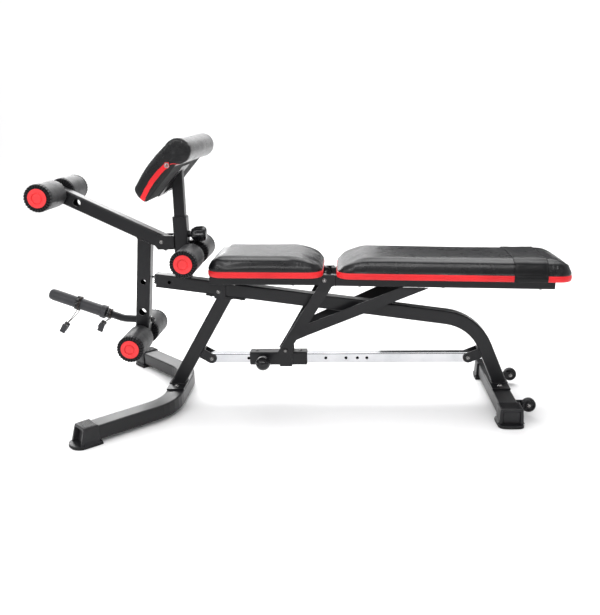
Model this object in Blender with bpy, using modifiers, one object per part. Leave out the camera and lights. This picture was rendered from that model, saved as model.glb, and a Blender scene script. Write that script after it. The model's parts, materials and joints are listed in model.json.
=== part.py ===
"""Adjustable exercise bench with a leg lever, foam rollers and a curl pad.

Metres, +Z up. +X points to the head end, -Y is the user's left when lying down.
Z = 0 is the floor, and the object's box is centred on X = 0 and Y = 0.
"""

import math

import bmesh
import bpy
from mathutils import Matrix, Vector

# ---------------------------------------------------------------- tube sections
TUBE = 0.045  # square tube of the beam, legs, lever and sleeve
WALL = 0.002
CORNER = 0.005  # outer corner radius of a tube
FOOT_W, FOOT_H = 0.060, 0.045
FOOT_Z = 0.035  # height of the foot tubes' centre line
BEND_R = 0.160  # centre line radius of every bend in a foot or in the beam
POST = 0.035
RAIL_W, RAIL_H = 0.025, 0.035
RAIL_Y = 0.058
BAR = 0.032
GAP = 0.0003  # between pieces that touch
RUN = 0.0005  # each side, where one piece moves past another

# ---------------------------------------------------------------- beam and legs
BEAM_FRONT = Vector((-0.465, 0.0, 0.421))
BEAM_CORNER = Vector((0.5699, 0.0, 0.2751))
BEAM_TILT = math.atan2(BEAM_FRONT.z - BEAM_CORNER.z, BEAM_CORNER.x - BEAM_FRONT.x)
REAR_LEAN = math.radians(22.6)  # rear leg, from vertical
PLATE_T = 0.005
PLATE_TOP = FOOT_Z + FOOT_H / 2 + GAP + PLATE_T
REAR_FOOT_X = 0.654
REAR_FOOT_HALF = 0.225
FRONT_FOOT_X = -0.417
FRONT_ARM_Y = 0.147  # where the front foot's straight part would meet its arms
FRONT_ARM_END = 0.367
PLATE_HALF_Y = 0.072
FLANGE_X, FLANGE_L = -0.240, 0.130
FRONT_POST_TOP = Vector((-0.240, 0.0, 0.3689))
FRONT_POST_LEAN = math.radians(30.4)

# ---------------------------------------------------------------- foot caps
CAP_L, CAP_WALL, CAP_IN = 0.055, 0.002, 0.045
SOLE_T, SOLE_W = 0.009, 0.080
SOLE_BACK, SOLE_OUT = 0.007, 0.015

# ---------------------------------------------------------------- wheels
WHEEL_X, WHEEL_Z, WHEEL_Y = 0.725, 0.0353, 0.139
WHEEL_R, WHEEL_W = 0.0225, 0.018
BOLT_R = 0.004
HOLE_R = 0.0045
HEAD_R, HEAD_T = 0.0068, 0.005

# ---------------------------------------------------------------- adjuster bar and slider
BAR_Z = 0.1505
BAR_PIVOT_X = (-0.298, 0.552)
BAR_OVER = 0.016
PIN_X = -0.119
PIN_STEPS = (-0.054, 0.0, 0.204, 0.271, 0.309, 0.340)
PIN_HOLE_R = 0.0052
SLIDER_X = (-0.167, 0.021)
SLIDER_WALL = 0.0024
SLIDER_PIVOT = Vector((-0.048, 0.0, 0.182))
KNOB_BALL_R = 0.021
KNOB_BALL_Y = -0.066
EAR_W = 0.037

# ---------------------------------------------------------------- seat and back
SEAT_PIVOT = Vector((-0.262, 0.0, 0.383))
SEAT_TILT = math.radians(1.0)  # head end lower
BACK_TILT = math.radians(1.5)
HINGE = Vector((0.086, 0.0, 0.4288))
SEAT_RAIL_FRONT = -0.2795
BACK_RAIL_X = (0.1065, 0.802)
BACK_MID = Vector((0.45, 0.0, 0.4355))  # a point on the top face of the back rails
PAD_HALF_W = 0.135
PAD_T = 0.060
SEAT_PAD_X = (-0.285, 0.083)
BACK_PAD_X = (0.124, 0.8445)
STRUT_W, STRUT_T = 0.038, 0.004
STRUT_Y_LOW, STRUT_Y_HIGH = 0.0276, 0.0712
STRUT_BEND_Z = (0.235, 0.395)

# ---------------------------------------------------------------- curl pad and its post
POST_X = -0.377
SLEEVE_TOP = 0.627
SLEEVE_WALL = 0.0024
PAD_TILT = math.radians(48.5)
PAD_LOW = Vector((-0.435, 0.0, 0.698))  # lower end of the board's underside
CURL_HALF_W = 0.204
BOARD_T, BOARD_L = 0.012, 0.133
ROLL_R, ROLL_ALONG, ROLL_OUT = 0.0395, 0.181, 0.017
KNOB_Z = 0.5715

# ---------------------------------------------------------------- lever and rollers
LEVER_PIVOT = Vector((-0.439, 0.0, 0.550))
TOP_ROLLER = Vector((-0.7725, 0.0, 0.7122))
THIGH_ROLLER = Vector((-0.3417, 0.0, 0.504))
LOW_ROLLER = Vector((-0.529, 0.0, 0.232))
LEG_LEAN = math.radians(5.7)
ARM_TAIL, ARM_NOSE, LEG_TAIL = 0.024, 0.027, 0.026
CHEEK_T = 0.004
ROLLER_TUBE_R = 0.0125
FOAM_R, FOAM_IN, FOAM_OUT = 0.0425, 0.030, 0.158
ROLLER_END = 0.170
PLATE_BAR_R = 0.0125
PLATE_BAR_START = Vector((-0.5467, 0.0, 0.2855))
PLATE_BAR_BEND = Vector((-0.592, 0.0, 0.2885))
PLATE_BAR_RISE = math.radians(20.0)
PLATE_SLEEVE = (0.061, 0.2615)  # from the bend, along the bar
PLATE_SLEEVE_R = 0.0195
CLIP_ALONG = (0.053, 0.161)
# From each collar's centre to the middle of its grips.
CLIP_REACH = (Vector((-0.0293, 0, -0.0446)), Vector((-0.0556, 0, -0.0859)))
CLIP_GRIP_L = 0.030


def clear_scene():
    for obj in list(bpy.data.objects):
        bpy.data.objects.remove(obj)


def collection(name):
    found = bpy.data.collections.new(name)
    bpy.context.scene.collection.children.link(found)
    return found


def material(name, colour, roughness, metallic=0.0):
    made = bpy.data.materials.new(name)
    made.use_nodes = True
    shader = made.node_tree.nodes["Principled BSDF"]
    shader.inputs["Base Color"].default_value = (*colour, 1.0)
    shader.inputs["Roughness"].default_value = roughness
    shader.inputs["Metallic"].default_value = metallic
    made.diffuse_color = (*colour, 1.0)
    return made


clear_scene()
PARTS = collection("exercise_bench")
CUTTERS = collection("cutters_and_joined_shapes")
FRAME_COAT = material("frame_coat", (0.035, 0.035, 0.038), 0.45)
CHROME = material("chrome", (0.82, 0.82, 0.84), 0.12, 1.0)
ZINC = material("zinc_bolts", (0.55, 0.55, 0.56), 0.3, 1.0)
VINYL = material("vinyl", (0.02, 0.02, 0.022), 0.3)
FOAM = material("roller_foam", (0.04, 0.04, 0.042), 0.85)
PLASTIC = material("black_plastic", (0.025, 0.025, 0.027), 0.4)
RED = material("red_plastic", (0.75, 0.03, 0.04), 0.35)
BOARD = material("board", (0.03, 0.03, 0.03), 0.8)


# ---------------------------------------------------------------- building blocks
def add_object(name, mesh, finish):
    """A new object in the parts collection, with flat facets kept where edges are sharp."""
    obj = bpy.data.objects.new(name, mesh)
    PARTS.objects.link(obj)
    mesh.materials.clear()
    mesh.materials.append(finish)
    mesh.shade_smooth()
    mesh.set_sharp_from_angle(angle=math.radians(35))
    return obj


def hide(obj):
    """Moves a shape that only cuts or joins into the hidden collection."""
    PARTS.objects.unlink(obj)
    CUTTERS.objects.link(obj)
    obj.hide_render = True
    obj.display_type = "WIRE"


def boolean(obj, other, operation):
    modifier = obj.modifiers.new(f"{operation.lower()}_{other.name}", "BOOLEAN")
    modifier.operation = operation
    modifier.solver = "EXACT"
    modifier.object = other
    hide(other)


def cut(obj, *others):
    for other in others:
        boolean(obj, other, "DIFFERENCE")


def join(obj, *others):
    for other in others:
        boolean(obj, other, "UNION")


def frame_xz(origin, angle):
    """Local x along a direction raised by angle in the XZ plane, local z square to it, local y along +Y."""
    return Matrix.Translation(origin) @ Matrix.Rotation(-angle, 4, "Y")


def box(name, low, high, finish=FRAME_COAT, place=None):
    """A box between two corners, in the frame given by place."""
    mesh = bpy.data.meshes.new(name)
    shape = bmesh.new()
    bmesh.ops.create_cube(shape, size=1.0)
    size = Vector(high) - Vector(low)
    middle = (Vector(high) + Vector(low)) / 2
    scaled = Matrix.Translation(middle) @ Matrix.Diagonal((*size, 1.0))
    bmesh.ops.transform(shape, verts=shape.verts, matrix=scaled)
    shape.to_mesh(mesh)
    shape.free()
    obj = add_object(name, mesh, finish)
    obj.matrix_world = place or Matrix.Identity(4)
    return obj


def rod(name, start, end, radius, finish=FRAME_COAT, segments=24):
    """A round bar between two points."""
    start, end = Vector(start), Vector(end)
    mesh = bpy.data.meshes.new(name)
    shape = bmesh.new()
    bmesh.ops.create_cone(
        shape, cap_ends=True, segments=segments, radius1=radius, radius2=radius, depth=(end - start).length
    )
    shape.to_mesh(mesh)
    shape.free()
    obj = add_object(name, mesh, finish)
    turn = (end - start).to_track_quat("Z", "X").to_matrix().to_4x4()
    obj.matrix_world = Matrix.Translation((start + end) / 2) @ turn
    return obj


def rounded_rectangle(width, height, radius, steps=3):
    """Points of a rectangle with round corners, anticlockwise."""
    points = []
    for corner in range(4):
        sx, sy = ((1, 1), (-1, 1), (-1, -1), (1, -1))[corner]
        centre = Vector((sx * (width / 2 - radius), sy * (height / 2 - radius)))
        for step in range(steps + 1):
            angle = math.pi / 2 * (corner + step / steps)
            points.append(centre + radius * Vector((math.cos(angle), math.sin(angle))))
    return points


def add_spline(curve, points, cyclic):
    spline = curve.splines.new("POLY")
    spline.points.add(len(points) - 1)
    for made, point in zip(spline.points, points):
        made.co = (*point, 0.0, 1.0) if len(point) == 2 else (*point, 1.0)
    spline.use_cyclic_u = cyclic


def mesh_of_curve(name, curve, finish, matrix):
    """The curve's shape as a mesh object with its caps welded, placed by matrix."""
    guide = bpy.data.objects.new(name + "_guide", curve)
    PARTS.objects.link(guide)
    graph = bpy.context.evaluated_depsgraph_get()
    mesh = bpy.data.meshes.new_from_object(guide.evaluated_get(graph))
    bpy.data.objects.remove(guide)
    shape = bmesh.new()
    shape.from_mesh(mesh)
    bmesh.ops.remove_doubles(shape, verts=shape.verts, dist=1e-5)
    bmesh.ops.recalc_face_normals(shape, faces=shape.faces)
    shape.to_mesh(mesh)
    shape.free()
    obj = add_object(name, mesh, finish)
    obj.matrix_world = matrix
    return obj


def extruded(name, outlines, thickness, finish, matrix):
    """Flat outlines, the first one outside and the others holes, as a plate centred on its own plane."""
    curve = bpy.data.curves.new(name, "CURVE")
    curve.dimensions = "2D"
    curve.fill_mode = "BOTH"
    curve.extrude = thickness / 2
    for outline in outlines:
        add_spline(curve, outline, True)
    return mesh_of_curve(name, curve, finish, matrix)


def straight_tube(name, start, end, width, depth, wall, finish=FRAME_COAT, corner=CORNER):
    """A rectangular tube with open ends. depth lies in the XZ plane, width along Y (X if it runs along Y)."""
    start, end = Vector(start), Vector(end)
    along = (end - start).normalized()
    side = Vector((0, 1, 0)) if abs(along.y) < 0.5 else Vector((1, 0, 0))
    up = along.cross(side)
    turn = Matrix((side, up, along)).transposed()
    if turn.determinant() < 0:
        turn = Matrix((side, -up, along)).transposed()
    outer = rounded_rectangle(width, depth, corner)
    inner = rounded_rectangle(width - 2 * wall, depth - 2 * wall, max(corner - wall, 0.001), 2)
    matrix = Matrix.Translation((start + end) / 2) @ turn.to_4x4()
    return extruded(name, [outer, inner], (end - start).length, finish, matrix)


def side_plate(name, outline, y_low, y_high, finish=FRAME_COAT):
    """A plate with its outline given in the XZ plane, between two Y planes."""
    flip = Matrix(((1, 0, 0, 0), (0, 0, 1, (y_low + y_high) / 2), (0, 1, 0, 0), (0, 0, 0, 1)))
    obj = extruded(name, [outline], y_high - y_low, finish, Matrix.Identity(4))
    obj.data.transform(flip)
    obj.data.flip_normals()
    return obj


def filleted(points, radius, step=math.radians(7.5)):
    """A polyline with each inner corner replaced by an arc."""
    path = [points[0]]
    for before, corner, after in zip(points, points[1:], points[2:]):
        a, b = (before - corner).normalized(), (after - corner).normalized()
        turn = math.pi - a.angle(b)
        reach = radius * math.tan(turn / 2)
        centre = corner + (a + b).normalized() * radius / math.cos(turn / 2)
        first, axis = corner + a * reach - centre, a.cross(b).normalized()
        count = max(2, round(turn / step))
        for i in range(count + 1):
            path.append(centre + Matrix.Rotation(-turn * i / count, 3, axis) @ first)
    return path + [points[-1]]


def bent_tube(name, points, width, height, wall, finish=FRAME_COAT):
    """A rectangular tube with open ends along a path that stays level or in the XZ plane."""
    profile = bpy.data.curves.new(name + "_section", "CURVE")
    profile.dimensions = "2D"
    add_spline(profile, rounded_rectangle(width, height, CORNER), True)
    section = bpy.data.objects.new(name + "_section", profile)
    CUTTERS.objects.link(section)
    section.hide_render = True
    curve = bpy.data.curves.new(name, "CURVE")
    curve.dimensions = "3D"
    curve.twist_mode = "Z_UP"
    curve.bevel_mode = "OBJECT"
    curve.bevel_object = section
    add_spline(curve, points, False)
    obj = mesh_of_curve(name, curve, finish, Matrix.Identity(4))
    shell = obj.modifiers.new("wall", "SOLIDIFY")
    shell.thickness = wall
    shell.offset = -1.0
    return obj


def turned(name, profile, origin, axis, finish, steps=32, ring=False):
    """A shape turned about axis. profile is (radius, height) pairs, down the outer side."""
    mesh = bpy.data.meshes.new(name)
    edges = [(i, i + 1) for i in range(len(profile) - 1)]
    if ring:
        edges.append((len(profile) - 1, 0))
    mesh.from_pydata([(r, 0.0, h) for r, h in profile], edges, [])
    obj = add_object(name, mesh, finish)
    screw = obj.modifiers.new("turn", "SCREW")
    screw.steps = screw.render_steps = steps
    screw.use_merge_vertices = True
    screw.merge_threshold = 1e-5
    screw.use_smooth_shade = True
    turn = Vector(axis).to_track_quat("Z", "X").to_matrix().to_4x4()
    obj.matrix_world = Matrix.Translation(origin) @ turn
    return obj


def body_empty(name, location):
    empty = bpy.data.objects.new(name, None)
    empty.empty_display_size = 0.05
    PARTS.objects.link(empty)
    empty.location = location
    return empty


def attach(empty, *objects):
    """Hangs pieces on the empty at their joint's axis, without moving them."""
    for obj in objects:
        obj.parent = empty
        obj.matrix_parent_inverse = Matrix.Translation(-empty.location)


def through_bolt(name, x, z, reach, finish=ZINC, nut=True):
    """A bolt along Y with its head at -Y and its nut at +Y. reach is where the faces under them lie."""
    low, high = -reach - GAP - HEAD_T, reach + GAP + HEAD_T
    profile = [
        (0.0, high if nut else reach), (HEAD_R if nut else BOLT_R, high if nut else reach),
    ]
    if nut:
        profile += [(HEAD_R, reach + GAP), (BOLT_R, reach + GAP)]
    profile += [(BOLT_R, -reach - GAP), (HEAD_R, -reach - GAP), (HEAD_R, low), (0.0, low)]
    return turned(name, profile, (x, 0, z), (0, 1, 0), finish, 16)


def y_hole(name, x, z, radius, low=-0.1, high=0.1):
    return rod(name, (x, low, z), (x, high, z), radius, segments=16)


# ---------------------------------------------------------------- derived places
def beam_height(x):
    """Height of the straight beam's centre line."""
    return BEAM_FRONT.z - math.tan(BEAM_TILT) * (x - BEAM_FRONT.x)


HALF_TUBE_V = TUBE / 2 / math.cos(BEAM_TILT)  # half the beam's height, measured upright


def seat_rail_top(x):
    return HINGE.z + RAIL_H / 2 - math.tan(SEAT_TILT) * (x - HINGE.x)


def back_rail_top(x):
    return BACK_MID.z - math.tan(BACK_TILT) * (x - BACK_MID.x)


def pad_point(along, out):
    """A point beside the curl pad: along its board from the low end, and out from the board's underside."""
    along_axis = Vector((math.cos(PAD_TILT), math.sin(PAD_TILT)))
    out_axis = Vector((-math.sin(PAD_TILT), math.cos(PAD_TILT)))
    return Vector((PAD_LOW.x, PAD_LOW.z)) + along_axis * along + out_axis * out


# ---------------------------------------------------------------- frame
def make_main_beam():
    """Beam and rear leg in one bent tube, with the plate that bolts to the rear foot."""
    leg = Vector((math.sin(REAR_LEAN), 0, -math.cos(REAR_LEAN)))
    foot_end = BEAM_CORNER + leg * ((BEAM_CORNER.z - PLATE_TOP + 0.03) / math.cos(REAR_LEAN))
    beam = bent_tube("main_beam", filleted([BEAM_FRONT, BEAM_CORNER, foot_end], BEND_R), TUBE, TUBE, WALL)
    x = REAR_FOOT_X
    cut(
        beam,
        box("beam_trim", (x - 0.1, -0.05, 0.0), (x + 0.1, 0.05, PLATE_TOP - 0.002)),
        y_hole("beam_pivot_hole", SEAT_PIVOT.x, SEAT_PIVOT.z, HOLE_R),
        y_hole("beam_front_hole", -0.4236, beam_height(-0.4236), 0.006),
    )
    join(
        beam,
        box(
            "beam_plate",
            (x - FOOT_W / 2 + 0.001, -PLATE_HALF_Y, PLATE_TOP - PLATE_T),
            (x + FOOT_W / 2 - 0.001, PLATE_HALF_Y, PLATE_TOP),
        ),
    )


def make_beam_front_cap():
    place = frame_xz(BEAM_FRONT, -BEAM_TILT)
    half, inner = TUBE / 2, TUBE / 2 - WALL - 0.0016
    cap = box("beam_front_cap", (-0.0035, -half, -half), (-GAP, half, half), PLASTIC, place)
    join(cap, box("beam_cap_plug", (-0.001, -inner, -inner), (0.018, inner, inner), PLASTIC, place))


def make_stop_bumper():
    """Stop screw on the front cap, where the lever rests."""
    face = LOW_ROLLER.x + math.tan(LEG_LEAN) * (0.430 - LOW_ROLLER.z) + TUBE / 2 / math.cos(LEG_LEAN)
    length = BEAM_FRONT.x - 0.0045 - GAP - face - 0.0012
    profile = [(0.0, length), (0.0028, length), (0.0034, length - 0.002)]
    profile += [(0.0045, 0.005), (0.0045, 0.0), (0.0, 0.0)]
    turned("stop_bumper", profile, (BEAM_FRONT.x - 0.0045 - GAP, 0, 0.430), (-1, 0, 0), PLASTIC, 20)


def make_front_post():
    """Slanted leg with the flange under the beam and the plate on the front foot."""
    down = Vector((-math.sin(FRONT_POST_LEAN), 0, -math.cos(FRONT_POST_LEAN)))
    length = (FRONT_POST_TOP.z - PLATE_TOP) / math.cos(FRONT_POST_LEAN)
    top, foot = FRONT_POST_TOP - down * 0.03, FRONT_POST_TOP + down * (length + 0.03)
    post = straight_tube("front_post", top, foot, TUBE, TUBE, WALL)
    under = Vector((FLANGE_X, 0, beam_height(FLANGE_X) - HALF_TUBE_V - GAP))
    place = frame_xz(under, -BEAM_TILT)
    x, half = FRONT_FOOT_X, FLANGE_L / 2
    cut(
        post,
        box("post_trim_top", (-0.12, -0.05, -PLATE_T + 0.002), (0.12, 0.05, 0.1), place=place),
        box("post_trim_foot", (x - 0.12, -0.05, 0.0), (x + 0.12, 0.05, PLATE_TOP - 0.002)),
    )
    join(
        post,
        box("post_flange", (-half, -TUBE / 2, -PLATE_T), (half, TUBE / 2, 0), place=place),
        box(
            "post_plate",
            (x - FOOT_W / 2 + 0.001, -PLATE_HALF_Y, PLATE_TOP - PLATE_T),
            (x + FOOT_W / 2 - 0.001, PLATE_HALF_Y, PLATE_TOP),
        ),
    )
    cut(post, rod("post_drain", (x, 0, 0.05), (x, 0, 0.075), 0.010, segments=16))


def make_front_foot():
    y = FRONT_ARM_END
    reach = y - FRONT_ARM_Y
    points = [
        Vector((FRONT_FOOT_X - reach, -y, FOOT_Z)), Vector((FRONT_FOOT_X, -FRONT_ARM_Y, FOOT_Z)),
        Vector((FRONT_FOOT_X, FRONT_ARM_Y, FOOT_Z)), Vector((FRONT_FOOT_X - reach, y, FOOT_Z)),
    ]
    bent_tube("front_foot", filleted(points, BEND_R), FOOT_W, FOOT_H, WALL)


def make_rear_foot():
    """Cross tube with the two plates that carry the wheels."""
    start, end = (REAR_FOOT_X, -REAR_FOOT_HALF, FOOT_Z), (REAR_FOOT_X, REAR_FOOT_HALF, FOOT_Z)
    foot = straight_tube("rear_foot", start, end, FOOT_W, FOOT_H, WALL)
    face = REAR_FOOT_X + FOOT_W / 2 - 0.001
    for side, word in ((-1, "left"), (1, "right")):
        inner = side * (WHEEL_Y - WHEEL_W / 2 - RUN)
        low, high = sorted((inner, inner - side * 0.005))
        tab = box(f"wheel_tab_{word}", (face, low, WHEEL_Z - 0.011), (WHEEL_X, high, WHEEL_Z + 0.011))
        eye = rod(f"wheel_eye_{word}", (WHEEL_X, low, WHEEL_Z), (WHEEL_X, high, WHEEL_Z), 0.011)
        ends = (WHEEL_X, low - 0.01, WHEEL_Z), (WHEEL_X, high + 0.01, WHEEL_Z)
        hole = rod(f"wheel_hole_{word}", *ends, HOLE_R)
        join(tab, eye)
        join(foot, tab)
        cut(foot, hole)


def make_foot_cap(name, mouth, heading):
    """Moulded cap on a foot tube's end, with a sole that spreads past it. mouth is the cap's inner edge."""
    place = Matrix.Translation(mouth) @ Matrix.Rotation(heading, 4, "Z")
    half = FOOT_W / 2 + CAP_WALL + 0.0003
    top = FOOT_Z + FOOT_H / 2 + CAP_WALL + 0.0003
    cap = box(name, (0, -half, 0.0015), (CAP_L, half, top), PLASTIC, place)
    bevel = cap.modifiers.new("edges", "BEVEL")
    bevel.width, bevel.segments, bevel.limit_method = 0.004, 2, "ANGLE"
    radius = SOLE_W / 2
    outline = [Vector((-SOLE_BACK, -radius))]
    for i in range(9):
        angle = math.pi * (i / 8 - 0.5)
        nose = CAP_L + SOLE_OUT
        outline.append(Vector((nose - 0.030 + 0.030 * math.cos(angle), radius * math.sin(angle))))
    outline.append(Vector((-SOLE_BACK, radius)))
    sole_place = place @ Matrix.Translation((0, 0, SOLE_T / 2))
    join(cap, extruded(name + "_sole", [outline], SOLE_T, PLASTIC, sole_place))
    inner, low = FOOT_W / 2 + 0.0003, FOOT_Z - FOOT_H / 2 - 0.0003
    cut(cap, box(name + "_pocket", (-0.02, -inner, low), (CAP_IN, inner, top - CAP_WALL), PLASTIC, place))


def make_feet_caps():
    span = CAP_IN - 0.001
    reach = FRONT_ARM_END - FRONT_ARM_Y
    back = span / math.sqrt(2)
    for side, word in ((-1, "left"), (1, "right")):
        mouth = (FRONT_FOOT_X - reach + back, side * (FRONT_ARM_END - back), 0)
        make_foot_cap(f"front_foot_cap_{word}", mouth, side * math.radians(135))
        mouth = (REAR_FOOT_X, side * (REAR_FOOT_HALF - span), 0)
        make_foot_cap(f"rear_foot_cap_{word}", mouth, side * math.radians(90))


def make_wheels():
    half = WHEEL_W / 2
    tread = [
        (BOLT_R + 0.0003, half), (0.009, half), (0.010, half - 0.003), (0.016, half - 0.003), (0.017, half),
        (WHEEL_R - 0.003, half), (WHEEL_R, half - 0.003), (WHEEL_R, 0.003 - half), (WHEEL_R - 0.003, -half),
        (BOLT_R + 0.0003, -half),
    ]
    for side, word in ((-1, "left"), (1, "right")):
        turned(f"wheel_{word}", tread, (WHEEL_X, side * WHEEL_Y, WHEEL_Z), (0, side, 0), PLASTIC, 28, True)
        head, nut = half + RUN, -half - 2 * RUN - 0.005
        profile = [
            (0.0, head + 0.004), (0.007, head + 0.004), (0.007, head), (BOLT_R, head),
            (BOLT_R, nut), (HEAD_R, nut), (HEAD_R, nut - HEAD_T), (0.0, nut - HEAD_T),
        ]
        turned(f"wheel_axle_{word}", profile, (WHEEL_X, side * WHEEL_Y, WHEEL_Z), (0, side, 0), ZINC, 16)


def make_adjuster_bar():
    start, end = (BAR_PIVOT_X[0] - BAR_OVER, 0, BAR_Z), (BAR_PIVOT_X[1] + BAR_OVER, 0, BAR_Z)
    bar = straight_tube("adjuster_bar", start, end, BAR, BAR, WALL, CHROME, 0.003)
    for i, step in enumerate(PIN_STEPS):
        cut(bar, y_hole(f"pin_hole_{i}", PIN_X + step, BAR_Z, PIN_HOLE_R, -0.03, 0.0))
    for i, x in enumerate(BAR_PIVOT_X):
        cut(bar, y_hole(f"bar_pivot_hole_{i}", x, BAR_Z, HOLE_R))


def make_bar_bracket(name, pivot_x, face_point, face_angle, bolt_name):
    """U bracket square to a leg's face, with round ears at the bar's pivot."""
    outward = Vector((math.cos(face_angle), math.sin(face_angle)))
    pivot = Vector((pivot_x, BAR_Z))
    reach = (pivot - face_point).dot(outward) - GAP
    place = frame_xz((pivot_x, 0, BAR_Z), face_angle)
    ear, inner = BAR / 2 + RUN + CHEEK_T, BAR / 2 + RUN
    bracket = box(name, (-reach, -ear, -0.0165), (0.0, ear, 0.0165), place=place)
    join(bracket, rod(name + "_nose", (pivot_x, -ear, BAR_Z), (pivot_x, ear, BAR_Z), 0.0165))
    cut(
        bracket,
        box(name + "_slot", (-reach + 0.004, -inner, -0.03), (0.03, inner, 0.03), place=place),
        y_hole(name + "_hole", pivot_x, BAR_Z, HOLE_R),
    )
    through_bolt(bolt_name, pivot_x, BAR_Z, ear)


def make_bar_brackets():
    post_x = FRONT_POST_TOP.x - math.tan(FRONT_POST_LEAN) * (FRONT_POST_TOP.z - BAR_Z)
    post_face = Vector((post_x + TUBE / 2 / math.cos(FRONT_POST_LEAN), BAR_Z))
    make_bar_bracket("bar_bracket_front", BAR_PIVOT_X[0], post_face, -FRONT_POST_LEAN, "bar_bolt_front")
    leg_x = BEAM_CORNER.x + math.tan(REAR_LEAN) * (BEAM_CORNER.z - BAR_Z)
    leg_face = Vector((leg_x - TUBE / 2 / math.cos(REAR_LEAN), BAR_Z))
    make_bar_bracket("bar_bracket_rear", BAR_PIVOT_X[1], leg_face, math.pi + REAR_LEAN, "bar_bolt_rear")


# ---------------------------------------------------------------- post sleeve and curl pad
def make_post_sleeve():
    """Upright sleeve on the beam, with the lever's bracket and the lock knob's boss."""
    bottom = beam_height(POST_X) + HALF_TUBE_V
    ends = (POST_X, 0, bottom - 0.01), (POST_X, 0, SLEEVE_TOP)
    sleeve = straight_tube("post_sleeve", *ends, TUBE, TUBE, SLEEVE_WALL)
    place = frame_xz((POST_X, 0, bottom + GAP), -BEAM_TILT)
    left = POST_X - TUBE / 2
    inner = TUBE / 2 + RUN
    z_low, z_high = LEVER_PIVOT.z - 0.0245, LEVER_PIVOT.z + 0.0205
    outline = [
        Vector((left + 0.001, z_low)), Vector((left + 0.001, z_high)),
        Vector((LEVER_PIVOT.x - 0.012, z_high)),
        Vector((LEVER_PIVOT.x - 0.022, z_high - 0.009)), Vector((LEVER_PIVOT.x - 0.022, z_low + 0.013)),
        Vector((LEVER_PIVOT.x - 0.012, z_low)),
    ]
    reach = inner + CHEEK_T
    join(sleeve, box("cheek_web", (left - 0.003, -reach, z_low), (left + 0.0015, reach, z_high)))
    for side in (-1, 1):
        low, high = sorted((side * inner, side * (inner + CHEEK_T)))
        join(sleeve, side_plate(f"cheek_{side + 1}", outline, low, high))
    right = POST_X + TUBE / 2
    join(sleeve, rod("knob_boss", (right - 0.001, 0, KNOB_Z), (right + 0.006, 0, KNOB_Z), 0.011))
    cut(
        sleeve,
        box("sleeve_trim", (-0.06, -0.05, -0.05), (0.06, 0.05, 0.0), place=place),
        rod("knob_hole", (right - 0.01, 0, KNOB_Z), (right + 0.01, 0, KNOB_Z), HOLE_R, segments=16),
        y_hole("lever_pivot_hole", LEVER_PIVOT.x, LEVER_PIVOT.z, HOLE_R),
    )
    through_bolt("lever_pivot_bolt", LEVER_PIVOT.x, LEVER_PIVOT.z, inner + CHEEK_T)


def make_sleeve_bushing():
    outer, inner = TUBE - 2 * SLEEVE_WALL - 0.0006, POST + 2 * RUN
    low, top = SLEEVE_TOP + GAP, SLEEVE_TOP + GAP + 0.003
    wall = (TUBE - inner) / 2
    ring = straight_tube("sleeve_bushing", (POST_X, 0, low), (POST_X, 0, top), TUBE, TUBE, wall, PLASTIC)
    liner = straight_tube(
        "bushing_liner", (POST_X, 0, SLEEVE_TOP - 0.03), (POST_X, 0, top - 0.001), outer, outer,
        (outer - inner) / 2, PLASTIC, 0.003,
    )
    join(ring, liner)


def make_post_knob():
    """Lock knob whose screw presses on the inner post."""
    face = POST_X + TUBE / 2 + 0.006 + RUN
    lobes = [(0.0, 0.0515), (0.015, 0.0515), (0.0218, 0.048)]
    lobes += [(0.0240, 0.040), (0.0230, 0.028), (0.0170, 0.008)]
    shank = [(0.012, 0.004), (0.009, 0.003), (0.009, 0.0), (BOLT_R, 0.0), (BOLT_R, -0.0095), (0.0, -0.0095)]
    return turned("post_knob", lobes + shank, (face, 0, KNOB_Z), (1, 0, 0), PLASTIC, 24)


def make_preacher_post():
    """Inner post with the plate and the brace that carry the curl pad's board."""
    low = beam_height(POST_X) + HALF_TUBE_V + 0.004
    ends = (POST_X, 0, low), (POST_X, 0, 0.81)
    post = straight_tube("preacher_post", *ends, POST, POST, WALL, corner=0.0045)
    place = frame_xz(PAD_LOW, PAD_TILT)
    cut(post, box("post_top_trim", (-0.1, -0.05, -0.003), (0.3, 0.05, 0.2), place=place))
    plate = box("pad_plate", (0.004, -0.055, -GAP - 0.004), (0.128, 0.055, -GAP), place=place)
    left = POST_X - POST / 2
    brace = [
        Vector((left + 0.001, 0.722)), Vector((left + 0.001, 0.737)),
        pad_point(0.028, -0.003), pad_point(0.006, -0.003),
    ]
    join(post, plate, side_plate("pad_brace", brace, -0.014, 0.014))
    return post


def make_curl_pad():
    """Board, and a cushion whose upper end rolls over the board's edge."""
    place = frame_xz(PAD_LOW, PAD_TILT)
    half = CURL_HALF_W - 0.006
    board = box("preacher_board", (0.002, -half, 0), (BOARD_L, half, BOARD_T), BOARD, place)
    base = BOARD_T + GAP
    outline = [(0.002, base), (0.0, 0.022), (0.004, 0.044), (0.012, 0.0515), (0.060, 0.0600), (0.110, 0.0620)]
    for i in range(11):
        angle = math.radians(85 - 20 * i)
        outline.append((ROLL_ALONG + ROLL_R * math.cos(angle), ROLL_OUT + ROLL_R * math.sin(angle)))
    outline += [(BOARD_L + 0.009, -0.001), (BOARD_L + 0.006, base)]
    points = [pad_point(*p) for p in outline]
    pad = side_plate("preacher_pad", points, -CURL_HALF_W, CURL_HALF_W, VINYL)
    bevel = pad.modifiers.new("edges", "BEVEL")
    bevel.width, bevel.segments, bevel.limit_method, bevel.angle_limit = 0.004, 2, "ANGLE", math.radians(60)
    return board, pad


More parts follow.
